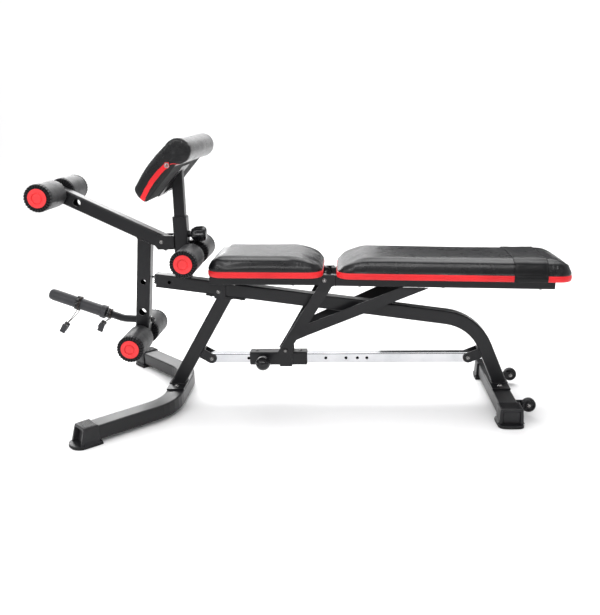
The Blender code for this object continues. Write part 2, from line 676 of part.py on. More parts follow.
# ---------------------------------------------------------------- rollers
def make_roller(name, centre, tube_name):
    """Cross tube with a foam sleeve and an end cap on each side."""
    end = ROLLER_END - 0.014
    outer, inner = ROLLER_TUBE_R, ROLLER_TUBE_R - WALL
    profile = [(inner, end), (outer, end), (outer, -end), (inner, -end)]
    tube = turned(
        tube_name, profile, centre, (0, 1, 0), FRAME_COAT, 24, True,
    )
    bore, soft = ROLLER_TUBE_R + GAP, 0.004
    half = (FOAM_OUT - FOAM_IN) / 2
    foam_profile = [
        (bore, half), (FOAM_R - soft, half), (FOAM_R, half - soft),
        (FOAM_R, soft - half), (FOAM_R - soft, -half), (bore, -half),
    ]
    face, back = ROLLER_END, FOAM_OUT + RUN
    cap_profile = [
        (0.0, face - 0.002), (0.010, face - 0.002), (0.012, face), (0.028, face), (0.031, face - 0.003),
        (FOAM_R - 0.003, face - 0.003), (FOAM_R, face - 0.006), (FOAM_R, back), (0.0100, back),
        (0.0100, back - 0.020), (0.0, back - 0.020),
    ]
    foams, caps = [], []
    for side, word in ((-1, "left"), (1, "right")):
        middle = centre + Vector((0, side * (FOAM_IN + half), 0))
        foams.append(turned(f"{name}_foam_{word}", foam_profile, middle, (0, side, 0), FOAM, 32, True))
        caps.append(turned(f"{name}_cap_{word}", cap_profile, centre, (0, side, 0), PLASTIC, 32))
    return tube, foams, caps


# ---------------------------------------------------------------- lever
def lever_joint():
    """Where the lever's leg meets the centre line of its arm."""
    arm = (TOP_ROLLER - LEVER_PIVOT).normalized()
    leg = Vector((math.sin(LEG_LEAN), 0, math.cos(LEG_LEAN)))
    start = Vector((LOW_ROLLER.x - LEVER_PIVOT.x, 0, LOW_ROLLER.z - LEVER_PIVOT.z))
    climb = (start.x * arm.z - start.z * arm.x) / (arm.x * leg.z - arm.z * leg.x)
    return LEVER_PIVOT + start + leg * climb


def make_lever_frame():
    """Arm and leg welded into one lever, with the hole for each roller tube."""
    arm = (TOP_ROLLER - LEVER_PIVOT).normalized()
    leg = Vector((math.sin(LEG_LEAN), 0, math.cos(LEG_LEAN)))
    ends = TOP_ROLLER + arm * ARM_NOSE, LEVER_PIVOT - arm * ARM_TAIL
    frame = straight_tube("lever_frame", *ends, TUBE, TUBE, WALL)
    upright = straight_tube(
        "lever_leg", LOW_ROLLER - leg * LEG_TAIL, lever_joint() - leg * 0.012, TUBE - 0.0004, TUBE, WALL
    )
    for tube, name, place in ((frame, "top", TOP_ROLLER), (upright, "low", LOW_ROLLER)):
        reach = Vector((0, 0.1, 0))
        cut(tube, rod(f"{name}_tube_hole", place - reach, place + reach, ROLLER_TUBE_R + GAP))
    for i, (distance, radius) in enumerate(((0.0838, 0.0127), (0.1864, 0.0092))):
        spot = LOW_ROLLER + leg * distance
        cut(upright, y_hole(f"leg_hole_{i}", spot.x, spot.z, radius))
    spot = TOP_ROLLER - arm * 0.0745
    cut(frame, y_hole("arm_hole", spot.x, spot.z, 0.0127))
    cut(frame, y_hole("arm_pivot_hole", LEVER_PIVOT.x, LEVER_PIVOT.z, HOLE_R))
    join(frame, upright)
    return frame


def make_arm_end_cap():
    arm = (TOP_ROLLER - LEVER_PIVOT).normalized()
    place = frame_xz(TOP_ROLLER + arm * ARM_NOSE, math.atan2(arm.z, arm.x))
    half, inner = TUBE / 2, TUBE / 2 - WALL - 0.0016
    cap = box("arm_end_cap", (GAP, -half, -half), (0.0035, half, half), PLASTIC, place)
    join(cap, box("arm_cap_plug", (-0.010, -inner, -inner), (0.001, inner, inner), PLASTIC, place))
    return cap


def plate_bar_direction():
    return Vector((-math.cos(PLATE_BAR_RISE), 0, math.sin(PLATE_BAR_RISE)))


def make_plate_bar():
    """Bent rod on the lever's leg, with the plastic sleeve that takes weight plates."""
    along = plate_bar_direction()
    tip = PLATE_BAR_BEND + along * (PLATE_SLEEVE[1] - 0.006)
    curve = bpy.data.curves.new("plate_bar", "CURVE")
    curve.dimensions = "3D"
    curve.bevel_depth = PLATE_BAR_R
    curve.bevel_resolution = 4
    curve.use_fill_caps = True
    add_spline(curve, filleted([PLATE_BAR_START, PLATE_BAR_BEND, tip], 0.06, math.radians(5)), False)
    bar = mesh_of_curve("plate_bar", curve, FRAME_COAT, Matrix.Identity(4))
    low, high = PLATE_SLEEVE
    bore = PLATE_BAR_R + GAP
    profile = [
        (0.0, high), (0.012, high), (PLATE_SLEEVE_R, high - 0.006), (PLATE_SLEEVE_R, low + 0.006),
        (0.0226, low + 0.006), (0.0226, low), (bore, low), (bore, high - 0.005), (0.0, high - 0.005),
    ]
    sleeve = turned("plate_sleeve", profile, PLATE_BAR_BEND, along, PLASTIC, 28)
    return bar, sleeve


def make_clip(name, distance, reach, core):
    """Spring collar on a round core: coils round it, and two legs that reach down to their grips."""
    along = plate_bar_direction()
    centre = PLATE_BAR_BEND + along * distance
    inner, outer, half = core + GAP, core + 0.0036, 0.005
    profile = [(inner, half), (outer, half), (outer, -half), (inner, -half)]
    clip = turned(name, profile, centre, along, ZINC, 28, True)
    down = reach.normalized()
    radial = (down - along * along.dot(down)).normalized()
    for side in (-1, 1):
        foot = centre + radial * (outer - 0.001) + Vector((0, side * 0.006, 0))
        knee = centre + down * (reach.length - CLIP_GRIP_L / 2) + Vector((0, side * 0.012, 0))
        tip = knee + down * CLIP_GRIP_L + Vector((0, side * 0.002, 0))
        join(clip, rod(f"{name}_leg_{side + 1}", foot, knee + down * 0.004, 0.0014, ZINC, 10))
        join(clip, rod(f"{name}_grip_{side + 1}", knee, tip, 0.0072, PLASTIC, 12))
    return clip


# ---------------------------------------------------------------- seat
def make_seat_frame():
    """Two rails on a bracket that straddles the beam, with a round hinge eye at each rear end."""
    front = HINGE + Vector((SEAT_RAIL_FRONT - HINGE.x, 0, math.tan(SEAT_TILT) * (HINGE.x - SEAT_RAIL_FRONT)))
    frame = None
    for side, word in ((-1, "left"), (1, "right")):
        shift = Vector((0, side * RAIL_Y, 0))
        name = "seat_frame" if frame is None else "seat_rail_right"
        ends = front + shift, HINGE + shift - Vector((0.002, 0, 0))
        rail = straight_tube(name, *ends, RAIL_W, RAIL_H, WALL, corner=0.003)
        low, high = side * RAIL_Y - RAIL_W / 2 + 0.0002, side * RAIL_Y + RAIL_W / 2 - 0.0002
        eye = rod(f"hinge_eye_{word}", (HINGE.x, low, HINGE.z), (HINGE.x, high, HINGE.z), RAIL_H / 2 - 0.0002)
        join(rail, eye)
        ends = (HINGE.x, low - 0.01, HINGE.z), (HINGE.x, high + 0.01, HINGE.z)
        cut(rail, rod(f"hinge_hole_{word}", *ends, HOLE_R))
        if frame is None:
            frame = rail
        else:
            second_rail = rail
    x_low, x_high = SEAT_PIVOT.x - 0.0145, SEAT_PIVOT.x + 0.0225
    inner = TUBE / 2 + 0.001
    web_low = beam_height(x_low) + HALF_TUBE_V + 0.003
    reach = RAIL_Y - RAIL_W / 2 + 0.001
    bridge = box("seat_bridge", (x_low, -reach, web_low), (x_high, reach, web_low + 0.004))
    for side in (-1, 1):
        low, high = sorted((side * inner, side * (inner + CHEEK_T)))
        bottom = SEAT_PIVOT.z - 0.022
        join(bridge, box(f"seat_ear_{side + 1}", (x_low, low, bottom), (x_high, high, web_low + 0.002)))
    join(frame, bridge, second_rail)
    cut(frame, y_hole("seat_pivot_hole", SEAT_PIVOT.x, SEAT_PIVOT.z, HOLE_R, -0.04, 0.04))
    through_bolt("seat_pivot_bolt", SEAT_PIVOT.x, SEAT_PIVOT.z, inner + CHEEK_T)
    return frame


def make_pad(name, x_range, tilt, rail_top):
    """A plain cushion on the rails, square to them."""
    middle = (x_range[0] + x_range[1]) / 2
    half = (x_range[1] - x_range[0]) / 2
    place = frame_xz((middle, 0, rail_top(middle) + GAP), -tilt)
    outline = rounded_rectangle(2 * half, 2 * PAD_HALF_W, 0.024, 4)
    pad = extruded(name, [outline], PAD_T, VINYL, place @ Matrix.Translation((0, 0, PAD_T / 2)))
    bevel = pad.modifiers.new("crown", "BEVEL")
    bevel.width, bevel.segments, bevel.limit_method, bevel.angle_limit = 0.006, 2, "ANGLE", math.radians(60)
    return pad


def make_hinge_bolts():
    """A bolt on each side through the strut's plate and the seat rail's eye."""
    bolts = []
    outer, inner = STRUT_Y_HIGH + STRUT_T + RUN, RAIL_Y - RAIL_W / 2 - GAP
    for side, word in ((-1, "left"), (1, "right")):
        profile = [
            (0.0, outer + HEAD_T), (HEAD_R, outer + HEAD_T), (HEAD_R, outer), (BOLT_R, outer),
            (BOLT_R, inner), (HEAD_R, inner), (HEAD_R, inner - HEAD_T), (0.0, inner - HEAD_T),
        ]
        bolts.append(turned(f"seat_hinge_bolt_{word}", profile, HINGE, (0, side, 0), ZINC, 16))
    return bolts


# ---------------------------------------------------------------- back and struts
def make_back_frame():
    """Two rails and two cross bars."""
    drop = Vector((0, 0, -RAIL_H / 2))
    start = Vector((BACK_RAIL_X[0], 0, back_rail_top(BACK_RAIL_X[0]))) + drop
    end = Vector((BACK_RAIL_X[1], 0, back_rail_top(BACK_RAIL_X[1]))) + drop
    shift = Vector((0, RAIL_Y, 0))
    frame = straight_tube("back_frame", start - shift, end - shift, RAIL_W, RAIL_H, WALL, corner=0.003)
    reach = RAIL_Y - RAIL_W / 2 + 0.001
    for i, x in enumerate((BACK_RAIL_X[0] + 0.05, BACK_RAIL_X[1] - 0.06)):
        place = frame_xz((x, 0, back_rail_top(x)), -BACK_TILT)
        join(frame, box(f"back_cross_{i}", (-0.02, -reach, -0.012), (0.02, reach, -0.006), place=place))
    ends = start + shift, end + shift
    join(frame, straight_tube("back_rail_right", *ends, RAIL_W, RAIL_H, WALL, corner=0.003))
    return frame


def line_cross(point_a, along_a, point_b, along_b):
    """Where two lines of the XZ plane meet."""
    offset = point_b - point_a
    t = (offset.x * along_b.y - offset.y * along_b.x) / (along_a.x * along_b.y - along_a.y * along_b.x)
    return point_a + along_a * t


def strut_outline():
    """Short strut up to the hinge, and long strut up to the back rail, in one flat shape."""
    foot = Vector((SLIDER_PIVOT.x, SLIDER_PIVOT.z))
    short = Vector((0.148, 0.247)).normalized()
    long = Vector((1.0, 0.43)).normalized()
    long_start = foot + short * 0.064
    short_left, long_up = Vector((-short.y, short.x)), Vector((-long.y, long.x))
    half = STRUT_W / 2
    top = seat_rail_top(HINGE.x)
    level = Vector((1.0, 0.0))
    rail_x = HINGE.x + 0.031
    rail_low = back_rail_top(rail_x) - RAIL_H
    rail_line = Vector((rail_x, rail_low - 0.0005))
    rail_along = Vector((math.cos(BACK_TILT), -math.sin(BACK_TILT)))
    low_edge, high_edge = long_start - long_up * half, long_start + long_up * half
    right_edge, left_edge = foot - short_left * half, foot + short_left * half
    heel, toe = left_edge - short * 0.018, foot + Vector((0.025, 0.012))
    outline = [heel, heel + Vector((0.002, -0.004))]
    outline += [foot + Vector((0.004, -0.021)), foot + Vector((0.021, -0.017))]
    outline += [foot + Vector((0.025, -0.012)), toe]
    outline += [toe + Vector((0.002, 0.008)), toe + Vector((0.008, 0.017))]
    outline.append(line_cross(low_edge, long, toe + Vector((0.0150, 0.020)), long_up))
    outline.append(line_cross(low_edge, long, rail_line, rail_along))
    outline.append(line_cross(high_edge, long, rail_line, rail_along))
    outline.append(line_cross(high_edge, long, right_edge, short))
    outline.append(line_cross(right_edge, short, rail_line, level))
    outline.append(Vector((rail_x, rail_low)))
    outline.append(Vector((rail_x, top)))
    outline.append(Vector((HINGE.x - 0.020, top)))
    outline.append(line_cross(left_edge, short, Vector((HINGE.x - 0.020, 0)), Vector((0, 1))))
    return outline


def make_strut(name, side):
    """Flat strut, bent outwards between the slider and the rails, with a bolt head at its foot."""
    foot = SLIDER_PIVOT
    plate = side_plate(name, strut_outline(), STRUT_Y_LOW, STRUT_Y_LOW + STRUT_T)
    shape = bmesh.new()
    shape.from_mesh(plate.data)
    for z in STRUT_BEND_Z:
        parts = shape.verts[:] + shape.edges[:] + shape.faces[:]
        bmesh.ops.bisect_plane(shape, geom=parts, plane_co=(0, 0, z), plane_no=(0, 0, 1), dist=1e-6)
    low, high = STRUT_BEND_Z
    for vertex in shape.verts:
        share = min(1.0, max(0.0, (vertex.co.z - low) / (high - low)))
        vertex.co.y = side * (vertex.co.y + share * (STRUT_Y_HIGH - STRUT_Y_LOW))
    bmesh.ops.recalc_face_normals(shape, faces=shape.faces)
    shape.to_mesh(plate.data)
    shape.free()
    face = STRUT_Y_LOW + STRUT_T
    ends = (foot.x, side * (face - 0.001), foot.z), (foot.x, side * (face + HEAD_T), foot.z)
    head = rod(name + "_bolt", *ends, HEAD_R, ZINC, 16)
    join(plate, head)
    ends = (HINGE.x, side * 0.06, HINGE.z), (HINGE.x, side * 0.09, HINGE.z)
    hole = rod(name + "_hole", *ends, HOLE_R, segments=16)
    cut(plate, hole)
    return plate


# ---------------------------------------------------------------- slider
def make_slider():
    """Sleeve on the adjuster bar, with the struts' bracket and the pull pin's housing."""
    sleeve = straight_tube(
        "slider_sleeve", (SLIDER_X[0], 0, BAR_Z), (SLIDER_X[1], 0, BAR_Z), TUBE, TUBE, SLIDER_WALL
    )
    x = SLIDER_PIVOT.x
    low, outer = BAR_Z - TUBE / 2 - 0.003, TUBE / 2 + CHEEK_T
    half = EAR_W / 2 + 0.002
    join(sleeve, box("wrap_base", (x - half, -outer, low), (x + half, outer, low + 0.0045)))
    for side in (-1, 1):
        near, far = sorted((side * (TUBE / 2 - 0.001), side * (outer - 0.0002)))
        thin = half - 0.0003
        ear = box(f"wrap_ear_{side + 1}", (x - thin, near, low + 0.0005), (x + thin, far, SLIDER_PIVOT.z))
        near, far = sorted((side * (TUBE / 2 - 0.0005), side * (outer - 0.0004)))
        join(ear, rod(f"wrap_eye_{side + 1}", (x, near, SLIDER_PIVOT.z), (x, far, SLIDER_PIVOT.z), 0.016))
        join(sleeve, ear)
    housing_end = KNOB_BALL_Y + KNOB_BALL_R - 0.001
    join(sleeve, rod("pin_housing", (PIN_X, -TUBE / 2 + 0.001, BAR_Z), (PIN_X, housing_end, BAR_Z), 0.010))
    cut(sleeve, rod("pin_bore", (PIN_X, -0.012, BAR_Z), (PIN_X, -0.06, BAR_Z), 0.0053, segments=16))
    bushings = []
    inner = BAR + 2 * RUN
    outer = TUBE - 2 * SLIDER_WALL - 0.0006
    wall = (outer - inner) / 2
    for word, end, sign in (("front", SLIDER_X[0], 1), ("rear", SLIDER_X[1], -1)):
        start, stop = (end - sign * 0.002, 0, BAR_Z), (end + sign * 0.022, 0, BAR_Z)
        bushings.append(
            straight_tube(f"slider_bushing_{word}", start, stop, outer, outer, wall, PLASTIC, 0.003)
        )
    return sleeve, bushings


def make_pull_knob():
    """Ball on the spring pin that locks the slider."""
    radius, centre = KNOB_BALL_R, -KNOB_BALL_Y
    profile = [(0.0, centre + radius)]
    for i in range(1, 9):
        angle = math.radians(90 - i * 19)
        profile.append((radius * math.cos(angle), centre + radius * math.sin(angle)))
    start = centre - radius + 0.001
    profile[-1] = (0.0085, start)
    profile += [(0.0047, start), (0.0047, 0.0180), (0.0, 0.0180)]
    return turned("pull_knob", profile, (PIN_X, 0, BAR_Z), (0, -1, 0), PLASTIC, 28)


# ---------------------------------------------------------------- assembly
def main():
    make_main_beam()
    make_beam_front_cap()
    make_stop_bumper()
    make_front_post()
    make_front_foot()
    make_rear_foot()
    make_feet_caps()
    make_wheels()
    make_adjuster_bar()
    make_bar_brackets()
    make_post_sleeve()
    make_sleeve_bushing()
    make_roller("thigh", THIGH_ROLLER, "thigh_roller_tube")

    attach(body_empty("post_knob_axis", (0, 0, KNOB_Z)), make_post_knob())
    attach(body_empty("preacher_slide_axis", (POST_X, 0, 0)), make_preacher_post(), *make_curl_pad())

    lever = body_empty("lever_axis", LEVER_PIVOT)
    attach(lever, make_lever_frame(), make_arm_end_cap(), *make_plate_bar())
    for name, centre in (("top", TOP_ROLLER), ("low", LOW_ROLLER)):
        tube, foams, caps = make_roller(name, centre, f"{name}_roller_tube")
        attach(lever, tube, *foams, *caps)
    for word, distance, reach in zip(("inner", "outer"), CLIP_ALONG, CLIP_REACH):
        core = PLATE_BAR_R if word == "inner" else PLATE_SLEEVE_R
        attach(lever, make_clip(f"spring_clip_{word}", distance, reach, core))

    seat = body_empty("seat_axis", SEAT_PIVOT)
    seat_pad = make_pad("seat_pad", SEAT_PAD_X, SEAT_TILT, seat_rail_top)
    attach(seat, make_seat_frame(), seat_pad, *make_hinge_bolts())
    back = body_empty("back_axis", HINGE)
    attach(back, make_back_frame(), make_pad("back_pad", BACK_PAD_X, BACK_TILT, back_rail_top))
    attach(back, make_strut("strut_left", -1), make_strut("strut_right", 1))

    slider = body_empty("slider_axis", (0, 0, BAR_Z))
    sleeve, bushings = make_slider()
    attach(slider, sleeve, *bushings)
    attach(slider, make_pull_knob())


main()
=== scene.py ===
"""Looks for the adjustable exercise bench: cushions, rollers, caps, fasteners, welds and materials."""

import json
import math

import bmesh
import bpy
import numpy as np
from mathutils import Matrix, Vector, noise
from mathutils.bvhtree import BVHTree


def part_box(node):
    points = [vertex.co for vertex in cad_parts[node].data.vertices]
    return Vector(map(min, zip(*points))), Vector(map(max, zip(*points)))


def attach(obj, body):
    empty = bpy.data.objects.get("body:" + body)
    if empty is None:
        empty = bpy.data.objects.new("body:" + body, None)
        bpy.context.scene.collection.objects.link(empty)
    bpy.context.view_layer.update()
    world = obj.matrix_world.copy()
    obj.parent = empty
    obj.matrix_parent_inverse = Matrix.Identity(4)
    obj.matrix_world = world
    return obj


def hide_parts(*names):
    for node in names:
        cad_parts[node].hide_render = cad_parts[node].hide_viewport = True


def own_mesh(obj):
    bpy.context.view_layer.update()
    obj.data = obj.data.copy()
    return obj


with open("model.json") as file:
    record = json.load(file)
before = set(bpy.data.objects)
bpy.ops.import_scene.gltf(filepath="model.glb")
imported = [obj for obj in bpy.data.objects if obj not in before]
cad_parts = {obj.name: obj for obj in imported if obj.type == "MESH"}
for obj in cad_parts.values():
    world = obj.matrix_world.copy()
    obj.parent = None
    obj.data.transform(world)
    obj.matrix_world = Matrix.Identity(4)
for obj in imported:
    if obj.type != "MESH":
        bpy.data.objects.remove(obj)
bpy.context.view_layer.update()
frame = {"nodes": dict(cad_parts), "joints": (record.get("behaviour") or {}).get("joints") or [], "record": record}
TAU = 2 * math.pi
SIDES = ((-1, "left"), (1, "right"))


# ---------------------------------------------------------------- materials
class Nodes:
    """Short calls for building one material's node tree."""

    def __init__(self, name):
        self.material = bpy.data.materials.new(name)
        self.material.use_nodes = True
        self.tree = self.material.node_tree
        self.shader = self.tree.nodes["Principled BSDF"]
        self.coordinate = self.add("ShaderNodeTexCoord").outputs["Object"]

    def add(self, kind, **inputs):
        node = self.tree.nodes.new(kind)
        for key, value in inputs.items():
            self.put(node.inputs[key.replace("_", " ")], value)
        return node

    def put(self, socket, value):
        if isinstance(value, bpy.types.NodeSocket):
            self.tree.links.new(value, socket)
        else:
            socket.default_value = value

    def stretched(self, scale):
        return self.add("ShaderNodeMapping", Vector=self.coordinate, Scale=scale).outputs["Vector"]

    def noise(self, scale, detail=2.0, vector=None, rough=0.5):
        node = self.add("ShaderNodeTexNoise", Scale=scale, Detail=detail, Roughness=rough)
        self.put(node.inputs["Vector"], vector or self.coordinate)
        return node.outputs["Fac"]

    def cells(self, scale, feature="F1"):
        node = self.add("ShaderNodeTexVoronoi", Scale=scale, Vector=self.coordinate)
        node.feature = feature
        return node.outputs["Distance"]

    def ramp(self, value, low, high, out_low=0.0, out_high=1.0):
        node = self.add("ShaderNodeMapRange", Value=value, From_Min=low, From_Max=high, To_Min=out_low,
            To_Max=out_high)
        return node.outputs["Result"]

    def maths(self, operation, a, b):
        node = self.add("ShaderNodeMath")
        node.operation = operation
        self.put(node.inputs[0], a)
        self.put(node.inputs[1], b)
        return node.outputs["Value"]

    def blend(self, share, a, b):
        node = self.tree.nodes.new("ShaderNodeMix")
        node.data_type = "RGBA"
        for index, value in ((0, share), (6, a), (7, b)):
            self.put(node.inputs[index], (*value, 1.0) if isinstance(value, tuple) else value)
        return node.outputs[2]

    def spread(self, scale, detail, colour, dark, light, low=0.35):
        """Slow variation of a colour between two multiples of itself."""
        share = self.ramp(self.noise(scale, detail), low, 1 - low)
        return self.blend(share, times(colour, dark), times(colour, light))

    def bump(self, *layers):
        """Each layer is (height, distance in metres, strength)."""
        normal = None
        for height, distance, strength in layers:
            node = self.add("ShaderNodeBump", Height=height, Distance=distance, Strength=strength)
            if normal:
                self.put(node.inputs["Normal"], normal)
            normal = node.outputs["Normal"]
        self.put(self.shader.inputs["Normal"], normal)

    def finish(self, colour, roughness, **constants):
        self.put(self.shader.inputs["Base Color"], colour)
        self.put(self.shader.inputs["Roughness"], roughness)
        for key, value in constants.items():
            self.shader.inputs[key.replace("_", " ")].default_value = value
        return self.material


def times(colour, factor):
    return tuple(min(1.0, c * factor) for c in colour)


def worn_edges(n, colour, light, width=0.0012, share=0.30):
    """Paint that thins a little on sharp edges: where a rounded normal leaves the true one."""
    true_normal = n.add("ShaderNodeNewGeometry").outputs["Normal"]
    rounded = n.tree.nodes.new("ShaderNodeBevel")
    rounded.samples = 4
    n.put(rounded.inputs["Radius"], width)
    cosine = n.tree.nodes.new("ShaderNodeVectorMath")
    cosine.operation = "DOT_PRODUCT"
    n.put(cosine.inputs[0], true_normal)
    n.put(cosine.inputs[1], rounded.outputs["Normal"])
    broken = n.ramp(n.noise(130.0, 3.0), 0.40, 0.60, 0.35, 1.0)
    edge = n.maths("MULTIPLY", n.ramp(cosine.outputs["Value"], 0.99, 0.85, 0.0, share), broken)
    return n.blend(edge, colour, light)


def powder_coat(name, colour=(0.0085, 0.0085, 0.0098), rough=(0.30, 0.36)):
    n = Nodes(name)
    dust = n.ramp(n.noise(620.0, 1.0), 0.66, 0.76, 0.0, 0.05)
    speckled = n.blend(dust, n.spread(6.0, 3.0, colour, 0.93, 1.08), (0.035, 0.035, 0.037))
    worn = worn_edges(n, speckled, (0.060, 0.060, 0.064))
    smudge = n.ramp(n.noise(16.0, 4.0, rough=0.60), 0.3, 0.7, *rough)
    n.bump((n.noise(1400.0, 2.0), 0.00004, 0.20), (n.noise(300.0, 2.0), 0.00003, 0.10))
    return n.finish(worn, smudge, Specular_IOR_Level=0.32)


def chrome_plate(name):
    n = Nodes(name)
    drawn = n.noise(1.0, 3.0, n.stretched((7.0, 620.0, 620.0)))
    haze = n.noise(14.0, 3.0)
    tint = n.blend(n.ramp(haze, 0.4, 0.7), (0.66, 0.66, 0.68), (0.56, 0.57, 0.59))
    rough = n.maths("ADD", n.ramp(drawn, 0.4, 0.75, 0.05, 0.16), n.ramp(haze, 0.5, 0.75, 0.0, 0.08))
    n.bump((drawn, 0.00004, 0.25))
    return n.finish(tint, rough, Metallic=1.0)


def zinc_plate(name, colour=(0.48, 0.48, 0.47), rough=(0.22, 0.42)):
    n = Nodes(name)
    mottled = n.spread(240.0, 3.0, colour, 0.75, 1.2)
    n.bump((n.noise(900.0, 2.0), 0.00006, 0.35))
    return n.finish(mottled, n.ramp(n.noise(90.0, 3.0), 0.3, 0.7, *rough), Metallic=1.0)


def grained_vinyl(name, colour, rough, coat=0.0, grain=0.00018, specular=0.5):
    """Leather grain: small cells, finer pores on them, and slow undulation of the cover."""
    n = Nodes(name)
    cell = n.cells(560.0)
    crease = n.ramp(n.cells(560.0, "DISTANCE_TO_EDGE"), 0.0, 0.10)
    tone = n.spread(7.0, 3.0, colour, 0.86, 1.16)
    # painted shade: the colour is darkened towards the creases between the grain cells, standing in for their
    # shadow
    dark = n.blend(n.ramp(crease, 0.0, 1.0, 0.32, 0.0), tone, times(colour, 0.45))
    scuff = n.ramp(n.noise(38.0, 5.0, rough=0.68), 0.60, 0.74, 0.0, 0.10)
    final = n.blend(scuff, dark, times(colour, 2.2))
    level = n.maths("ADD", n.ramp(n.noise(16.0, 3.0), 0.3, 0.7, *rough), n.ramp(cell, 0.0, 0.9, 0.0, 0.05))
    n.bump((crease, grain, 0.45), (n.noise(1300.0, 2.0), 0.00006, 0.30), (n.noise(34.0, 2.0), 0.0011, 0.30))
    return n.finish(
        final, level, Coat_Weight=coat, Coat_Roughness=0.13, Coat_IOR=1.38, Specular_IOR_Level=specular
    )


def closed_cell_foam(name, colour=(0.0125, 0.0125, 0.0140)):
    n = Nodes(name)
    pores = n.cells(950.0)
    tone = n.spread(24.0, 4.0, colour, 0.8, 1.3, 0.3)
    # painted shade: the colour is darkened inside the pores, standing in for their shadow
    pores_shaded = n.blend(n.ramp(pores, 0.0, 0.45, 0.35, 0.0), tone, times(colour, 0.4))
    n.bump((pores, 0.00022, 0.45), (n.noise(60.0, 3.0), 0.0006, 0.30))
    level = n.ramp(n.noise(45.0, 3.0), 0.3, 0.7, 0.40, 0.52)
    return n.finish(pores_shaded, level, Sheen_Weight=0.03, Specular_IOR_Level=0.28)


def moulded_plastic(name, colour, rough, texture=0.00010, scale=1100.0, coat=0.0, specular=0.4):
    n = Nodes(name)
    speck = n.ramp(n.noise(520.0, 1.0), 0.68, 0.8, 0.0, 0.15)
    dusty = n.blend(speck, n.spread(18.0, 3.0, colour, 0.88, 1.14), times(colour, 1.8))
    n.bump((n.noise(scale, 2.0), texture, 0.35), (n.noise(70.0, 2.0), 0.0003, 0.18))
    level = n.ramp(n.noise(30.0, 4.0), 0.3, 0.7, *rough)
    return n.finish(dusty, level, Coat_Weight=coat, Coat_Roughness=0.12, Specular_IOR_Level=specular)


def woven_backing(name):
    """Non-woven black backing stapled under a cushion."""
    n = Nodes(name)
    warp = n.noise(1.0, 2.0, n.stretched((1500.0, 240.0, 240.0)))
    weft = n.noise(1.0, 2.0, n.stretched((240.0, 1500.0, 240.0)))
    both = n.maths("MAXIMUM", warp, weft)
    tone = n.blend(n.ramp(both, 0.4, 0.7), (0.006, 0.006, 0.0065), (0.016, 0.016, 0.017))
    n.bump((both, 0.00025, 0.5))
    return n.finish(tone, n.ramp(n.noise(40.0, 2.0), 0.3, 0.7, 0.80, 0.92))


COAT = powder_coat("black_powder_coat")
WELD = powder_coat("coated_weld", (0.012, 0.012, 0.013), (0.16, 0.26))
CHROME = chrome_plate("bar_chrome")
ZINC = zinc_plate("bolt_zinc")
DARK_ZINC = zinc_plate("dark_bolt", (0.30, 0.295, 0.29), (0.18, 0.30))
VINYL = grained_vinyl("black_vinyl", (0.0062, 0.0062, 0.0072), (0.22, 0.30), 0.16, specular=0.30)
SLEEVE_VINYL = grained_vinyl("sleeve_vinyl", (0.0060, 0.0060, 0.0068), (0.28, 0.36), 0.12, 0.00016, 0.20)
RED_VINYL = grained_vinyl("red_vinyl", (0.76, 0.018, 0.024), (0.32, 0.42), 0.05, 0.00012, 0.30)
FOAM = closed_cell_foam("roller_foam_skin")
PLASTIC = moulded_plastic("black_moulded_plastic", (0.0110, 0.0110, 0.0125), (0.30, 0.40), specular=0.32)
GLOSS = moulded_plastic("black_gloss_plastic", (0.0070, 0.0070, 0.0080), (0.20, 0.30), 0.00005, coat=0.12,
    specular=0.34)
RED = moulded_plastic("red_cap_plastic", (0.84, 0.040, 0.045), (0.34, 0.44), 0.00006, coat=0.05,
    specular=0.30)
SLEEVE_PLASTIC = moulded_plastic("sleeve_plastic", (0.034, 0.034, 0.038), (0.40, 0.50), 0.00016, 600.0,
    specular=0.34)
RUBBER = moulded_plastic("sole_rubber", (0.0085, 0.0085, 0.0092), (0.50, 0.64), 0.00020, 700.0, specular=0.28)
SPRING = zinc_plate("spring_wire", (0.075, 0.066, 0.062), (0.24, 0.36))
BACKING = woven_backing("backing_cloth")


# ---------------------------------------------------------------- shapes: (points, faces), faces as tuples
def moved(shape, matrix):
    points, faces = shape
    return [tuple(matrix @ Vector(p)) for p in points], faces


def towards(origin, axis):
    """Local z along axis, and the origin at a place in the row frame."""
    return Matrix.Translation(origin) @ Vector(axis).to_track_quat("Z", "X").to_matrix().to_4x4()


def tilted(origin, angle):
    """Local x raised by angle in the XZ plane, y along +Y, z square to both."""
    return Matrix.Translation(origin) @ Matrix.Rotation(-angle, 4, "Y")


def lathe(profile, steps=48, wave=None, ring=False):
    """Turned shape about local z. profile is (radius, height) pairs; a radius of 0 closes on the axis."""
    points, faces, rows = [], [], []
    for r, h in profile:
        if r == 0.0 and not ring:
            rows.append([len(points)] * steps)
            points.append((0.0, 0.0, h))
            continue
        row = []
        for i in range(steps):
            a = TAU * i / steps
            rr, hh = wave(r, h, a) if wave else (r, h)
            row.append(len(points))
            points.append((rr * math.cos(a), rr * math.sin(a), hh))
        rows.append(row)
    pairs = list(zip(rows, rows[1:])) + ([(rows[-1], rows[0])] if ring else [])
    for a, b in pairs:
        for i in range(steps):
            j = (i + 1) % steps
            face = []
            for v in (a[i], a[j], b[j], b[i]):
                if v not in face:
                    face.append(v)
            if len(face) > 2:
                faces.append(tuple(face))
    return points, faces


def grid_faces(rows, size):
    """Quads between closed rows of points, and a face at each end."""
    faces = []
    for a in range(0, (rows - 1) * size, size):
        b = a + size
        faces += [(a + i, a + (i + 1) % size, b + (i + 1) % size, b + i) for i in range(size)]
    return faces + [tuple(range(size)), tuple(range((rows - 1) * size, rows * size))]


